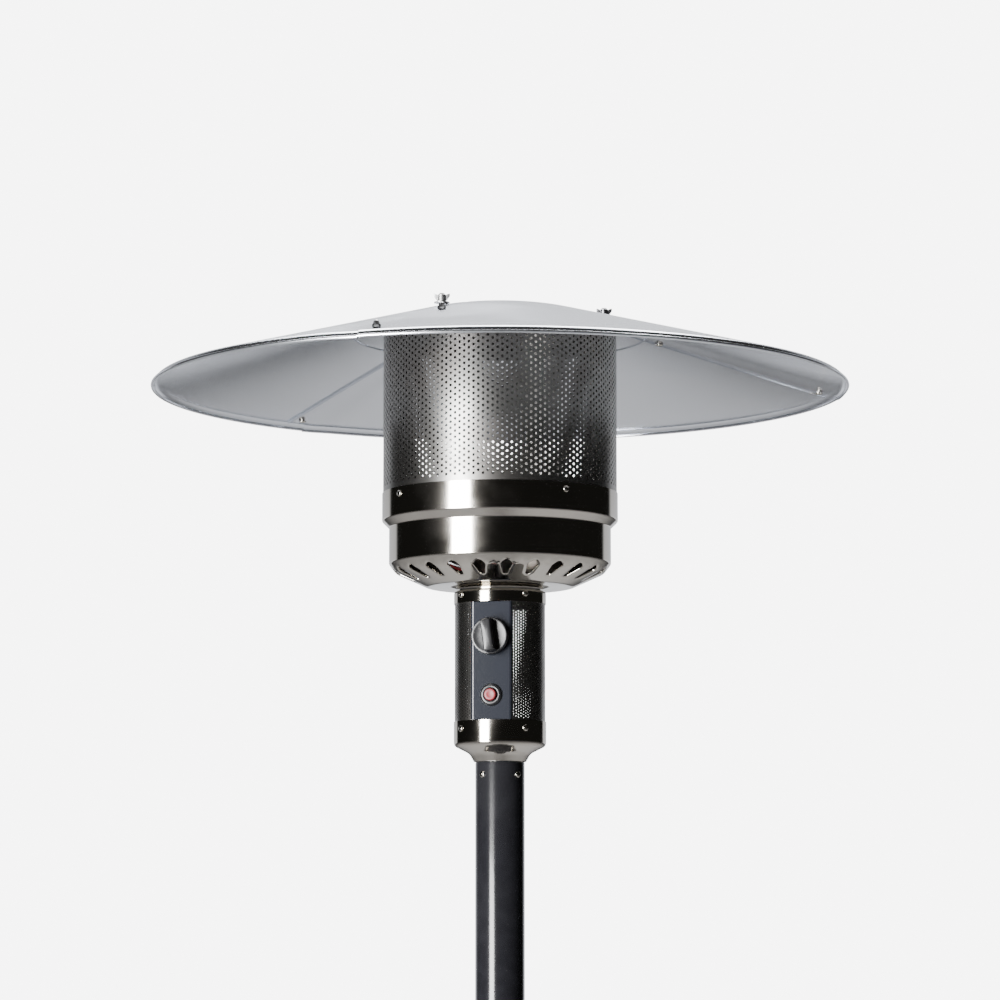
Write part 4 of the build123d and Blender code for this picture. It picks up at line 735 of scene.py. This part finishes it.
def slot_outline(count_side, count_end):
    """Slot edge and field edge with matching points, as (arc angle, radius) pairs."""
    in_r, out_r = SLOT_SPAN
    in_w, out_w = SLOT_WIDTHS
    half = pi / SLOTS
    low, high = SLOT_FIELD
    field = [(-half + 2 * half * i / count_end, low) for i in range(count_end)]
    field += [(half, low + (high - low) * i / count_side) for i in range(count_side)]
    field += [(half - 2 * half * i / count_end, high) for i in range(count_end)]
    field += [(-half, high - (high - low) * i / count_side) for i in range(count_side)]
    centre = (in_r + out_r) / 2
    ends = ((in_r + in_w / 2, in_w / 2), (out_r - out_w / 2, out_w / 2))
    slot = []
    for angle, radius in field:
        x, y = angle * centre, radius - centre
        away = hypot(x, y)
        best = 0.0
        for t in np.linspace(0, 1, 25):
            cy = ends[0][0] * (1 - t) + ends[1][0] * t - centre
            r = ends[0][1] * (1 - t) + ends[1][1] * t
            along = cy * y / away
            off = r * r - (cy * x / away) ** 2
            if off > 0:
                best = max(best, along + off ** 0.5)
        slot.append((x / away * best, y / away * best + centre))
    return np.array([(a * centre, r) for a, r in field]), np.array(slot), centre


def make_bowl():
    """Spun bowl whose bottom has a ring of air slots with rolled-in edges."""
    path = bowl_path()
    t = SHEET_T
    radii = np.array([p.x for p in path])
    heights = np.array([p.y for p in path])
    last = int(np.argmax(radii > SLOT_FIELD[1] + MM))
    side = 16
    field, slot, centre = slot_outline(side, side)

    def place(points, depth, turn):
        """Carries flat (arc, radius) points onto the bowl, a depth inside its outer face."""
        slope = np.interp(points[:, 1], radii[:last], np.gradient(heights[:last], radii[:last]))
        tilt = np.arctan(slope)
        r = points[:, 1] - np.sin(tilt) * depth + np.sin(tilt) * t / 2
        z = np.interp(points[:, 1], radii[:last], heights[:last]) + np.cos(tilt) * (depth - t / 2)
        a = points[:, 0] / centre + radians(turn - 90.0)
        return np.stack([r * np.cos(a), r * np.sin(a), z], 1)

    mid = np.array([0.0, centre])
    quads = []
    for i in range(SLOTS):
        turn = SLOT_FIRST + 360.0 * i / SLOTS
        spread = [field, field * 0.45 + slot * 0.55, mid + (slot - mid) * 1.08]
        outer = [place(p, 0.0, turn) for p in spread] + [place(slot, 0.25 * MM, turn)]
        lip = [place(mid + (slot - mid) * 0.95, d, turn) for d in (0.9 * MM, 2.2 * MM)]
        back = [place(mid + (slot - mid) * 1.02, 2.2 * MM, turn), place(mid + (slot - mid) * 1.08, t, turn)]
        inner = [place(spread[1], t, turn), place(field, t, turn)]
        quads.append(skin(outer + lip + back + inner))
    steps = SLOTS * side
    first = SLOT_FIRST - 180.0 / SLOTS
    floor_line = list(zip(radii[:last], heights[:last]))
    joints = [(cut, float(np.interp(cut, radii[:last], heights[:last]))) for cut in SLOT_FIELD]
    inside = [point for point in floor_line if point[0] <= SLOT_FIELD[0]] + joints[:1]
    outside = joints[1:] + [point for point in floor_line if point[0] >= SLOT_FIELD[1]]
    outside += list(zip(radii[last:], heights[last:]))
    quads += [lathe(thickened(rows, t), steps, first) for rows in (inside, outside)]
    build("slotted_bowl", quads, "frame", "polished_steel", ["burner_bowl"], 38.0)


# Turned pieces

def turned_piece(name, points, radii, thickness, slot, replaces, body="frame", steps=160):
    outline = thickened(rounded(points, radii, 8), thickness)
    return build(name, [lathe(outline, steps)], body, slot, replaces)


def make_turned():
    """The plain turned sheets and tube: cup, cap, collar and post."""
    wall = CUP_R - SHEET_T / 2
    turned_piece("neck_cup_skin", [(29.9 * MM, POST_TOP + 0.3 * MM), (35 * MM, POST_TOP + 9.5 * MM),
                                   (wall, POST_TOP + 18.5 * MM), (wall, CUP_TOP)],
                 [14 * MM, 6 * MM], SHEET_T, "polished_steel", ["neck_cup"])
    cap = CAP_TOP - SHEET_T / 2
    turned_piece("housing_cap_skin", [(6 * MM, cap), (wall, cap), (wall, CAP_BOTTOM)], [3 * MM], SHEET_T,
                 "polished_steel", ["housing_cap"])
    foot, bore = CUP_R - 3.2 * MM, 46 * MM
    collar = rounded([(foot - 5 * MM, CAP_TOP), (foot, CAP_TOP), (foot + 0.4 * MM, CAP_TOP + 2.6 * MM),
                      (57.8 * MM, BOWL_BOTTOM)], [0.3 * MM, 3 * MM], 6)
    ring = list(collar) + [(bore, BOWL_BOTTOM), (bore, CAP_TOP)]
    build("neck_collar_ring", [lathe(ring, 128)], "frame", "polished_steel", ["neck_collar"])
    tube = POST_R - 1.8 * MM
    bottom = low_z("post")
    post = [(tube, bottom), (POST_R, bottom), (POST_R, POST_TOP - 1.6 * MM),
            (POST_R - 0.4 * MM, POST_TOP - 0.5 * MM), (POST_R - 1.4 * MM, POST_TOP), (tube, POST_TOP)]
    build("post_tube", [lathe(post, 96)], "frame", "black_paint", ["post"])


def make_tank_housing():
    """Tank housing: rolled sheet with a lapped seam at the back, a hem and a stepped lid."""
    top = high_z("tank_shell")
    skirt_r = TANK_R + 0.6 * MM
    lid_low, lid_top = low_z("tank_lid"), high_z("tank_lid")
    inside = TANK_R - SHEET_T
    quads = [lathe([(inside, PAN_TOP), (TANK_R, PAN_TOP), (TANK_R, top), (inside, top)], 192)]
    hem_r, hem_z = 2.6 * MM, PAN_TOP + 2.7 * MM
    hem_turns = np.linspace(0, 2 * pi, 15)[:-1]
    quads.append(lathe([(TANK_R + hem_r * cos(a), hem_z + hem_r * sin(a)) for a in hem_turns], 192))
    seam_in, seam_out = TANK_R - 0.2 * MM, TANK_R + 0.35 * MM
    seam_low, seam_high = PAN_TOP + 6 * MM, lid_low - 2 * MM
    seam = [(seam_in, seam_low), (seam_out, seam_low), (seam_out, seam_high), (seam_in, seam_high)]
    quads.append(lathe(seam, 4, 178.0, 4.0))
    build("tank_housing_skin", quads, "tank_housing", "black_paint", ["tank_shell"])
    collar = 32.1 * MM
    shoulder = lid_low + 23 * MM
    flat = lid_top - 20 * MM
    lid = [(skirt_r, lid_low), (skirt_r, shoulder), (150 * MM, shoulder + 4.5 * MM), (46 * MM, flat),
           (collar, flat), (collar, lid_top)]
    turned_piece("tank_lid_skin", lid, [6 * MM, 20 * MM, 6 * MM, 2 * MM], 1.0 * MM,
                 "black_paint", ["tank_lid"], "tank_housing", 192)
    screw = cross_screw(3.8 * MM, 1.6 * MM)
    screws = [moved(screw, facing(a, skirt_r + 0.4 * MM, lid_low + 7 * MM)) for a in even_azimuths(60.0, 3)]
    build("lid_screw_heads", screws, "tank_housing", "zinc_steel", ["lid_screws"])


def make_base():
    """Base pan: a pressed plate with a deep edge that folds in at the ground."""
    pan_t, foot_w = 2 * MM, 14 * MM
    top, ground = PAN_TOP - pan_t / 2, pan_t / 2
    pan = [(30 * MM, top), (196 * MM, top), (PAN_R, top), (PAN_R, ground), (PAN_R - foot_w, ground)]
    turned_piece("base_pan_skin", pan, [1 * MM, 8 * MM, 3 * MM], pan_t,
                 "black_paint", ["base_pan"], steps=192)


def make_tyres():
    """Solid tyres with a shallow tread across each."""
    for side, sign in (("left", -1), ("right", 1)):
        low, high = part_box(f"wheel_{side}_tyre")
        middle = (low + high) / 2
        half = (high.x - low.x) / 2
        outer = (high.z - low.z) / 2
        seat = outer - 9 * MM
        groove = 1.2 * MM
        rings, sides = [], 144
        wall, shoulder = outer - 6 * MM, outer - 2.2 * MM
        rows = [(seat, -half), (wall, -half), (shoulder, -half * 0.86), (outer, -half * 0.6),
                (outer, -half * 0.12), (outer, half * 0.12), (outer, half * 0.6), (shoulder, half * 0.86),
                (wall, half), (seat, half), (seat, -half)]
        for radius, along in rows:
            ring = []
            for i in range(sides):
                a = 2 * pi * i / sides
                r = radius - (groove if radius > outer - MM and i % 6 == 0 else 0.0)
                ring.append((middle.x + along, middle.y + r * cos(a), middle.z + r * sin(a)))
            rings.append(ring)
        build(f"tyre_{side}", [skin(rings)], f"{side}_wheel", "tyre_rubber", [f"wheel_{side}_tyre"], 28.0)


# Controls

def control_matrix(node_z, depth):
    """A frame on the panel: Z out of it, X to the right, Y up."""
    return facing(np.degrees(CONTROL_TURN), depth, node_z)


PANEL_DEPTH = 48.6 * MM
KNOB_BACK = PANEL_DEPTH + 5.0 * MM


def grip_outline(length, width):
    """Round-ended bar along Y with its waist drawn in."""
    sides, pinch = 40, 0.10
    points = []
    for i in range(sides):
        a = 2 * pi * i / sides
        x, y = cos(a), sin(a)
        bar = width / 2 * np.sign(x) * min(1.0, abs(x) * 2.2) ** 0.8
        waist = 1.0 - pinch * (1 - y * y)
        points.append((bar * waist, length / 2 * np.sign(y) * abs(y) ** 0.9))
    return points


def make_knob():
    """Knob: a round skirt, a sunk ring and a tall grip with rounded edges."""
    z = (low_z("control_knob") + high_z("control_knob")) / 2
    place = control_matrix(z, KNOB_BACK) @ Matrix.Rotation(radians(8.0), 4, "Z")
    skirt_r, skirt_h, grip_h = 21.5 * MM, 6 * MM, 20.9 * MM
    skirt = [(4.1, 0), (21.0, 0), (21.5, 0.6), (21.1, 4.6), (20.4, 5.7), (19.2, 6.0), (17.8, 5.6), (12, 5.3),
             (0.01, 5.3)]
    length, width = 2 * skirt_r - 2.6 * MM, 14.5 * MM
    levels = [(1.0, 1.0, 4.8 * MM), (0.985, 0.97, skirt_h + 4 * MM), (0.955, 0.92, grip_h - 4 * MM),
              (0.93, 0.88, grip_h - 1.6 * MM), (0.905, 0.80, grip_h - 0.5 * MM), (0.87, 0.66, grip_h)]
    bars = [loop(grip_outline(length * long, width * wide), h) for long, wide, h in levels]
    quads = [skin(round_rings(skirt, 72)), skin(bars), fan(bars[-1], (0, 0, grip_h))]
    build("knob_moulding", [moved(q, place) for q in quads], "knob", "black_plastic", ["control_knob"], 40.0)


def make_igniter():
    """Igniter: a round bezel on the panel with a dished red button in it."""
    z = (low_z("igniter_button") + high_z("igniter_button")) / 2
    place = control_matrix(z, PANEL_DEPTH)
    bezel = [(9.8, -34), (9.8, 0), (12.9, 0), (13.0, 0.5), (12.6, 1.9), (11.4, 3.0), (9.9, 3.5), (8.4, 3.4),
             (7.2, 2.6), (7.08, 1.2), (7.08, -16)]
    build("igniter_bezel", [moved(skin(round_rings(bezel, 64)), place)], "frame", "black_plastic",
          ["igniter_body"])
    button = [(7.0, -12), (7.0, 6.0), (6.8, 7.0), (6.2, 7.7), (5.0, 8.0), (3.4, 7.75), (1.5, 7.55)]
    rings = round_rings(button, 64)
    quads = [skin(rings), fan(rings[-1], (0, 0, 7.5 * MM))]
    build("igniter_cap", [moved(q, place) for q in quads], "button", "red_plastic", ["igniter_button"])


def dress_frame():
    """Gives every node of the frame the finish of its slot."""
    slots = {entry["node"]: entry["material_slot"] for entry in frame["record"]["subparts"]}
    for name, node in frame["nodes"].items():
        node.data.materials.clear()
        node.data.materials.append(FINISH[slots[name]])


set_camera()
FINISH = make_finishes()
set_studio()
dress_frame()
make_reflector()
make_screen()
make_bowl()
make_cover()
make_turned()
make_knob()
make_igniter()
make_head_screws()
make_reflector_fixings()
make_tank_housing()
make_base()
make_tyres()
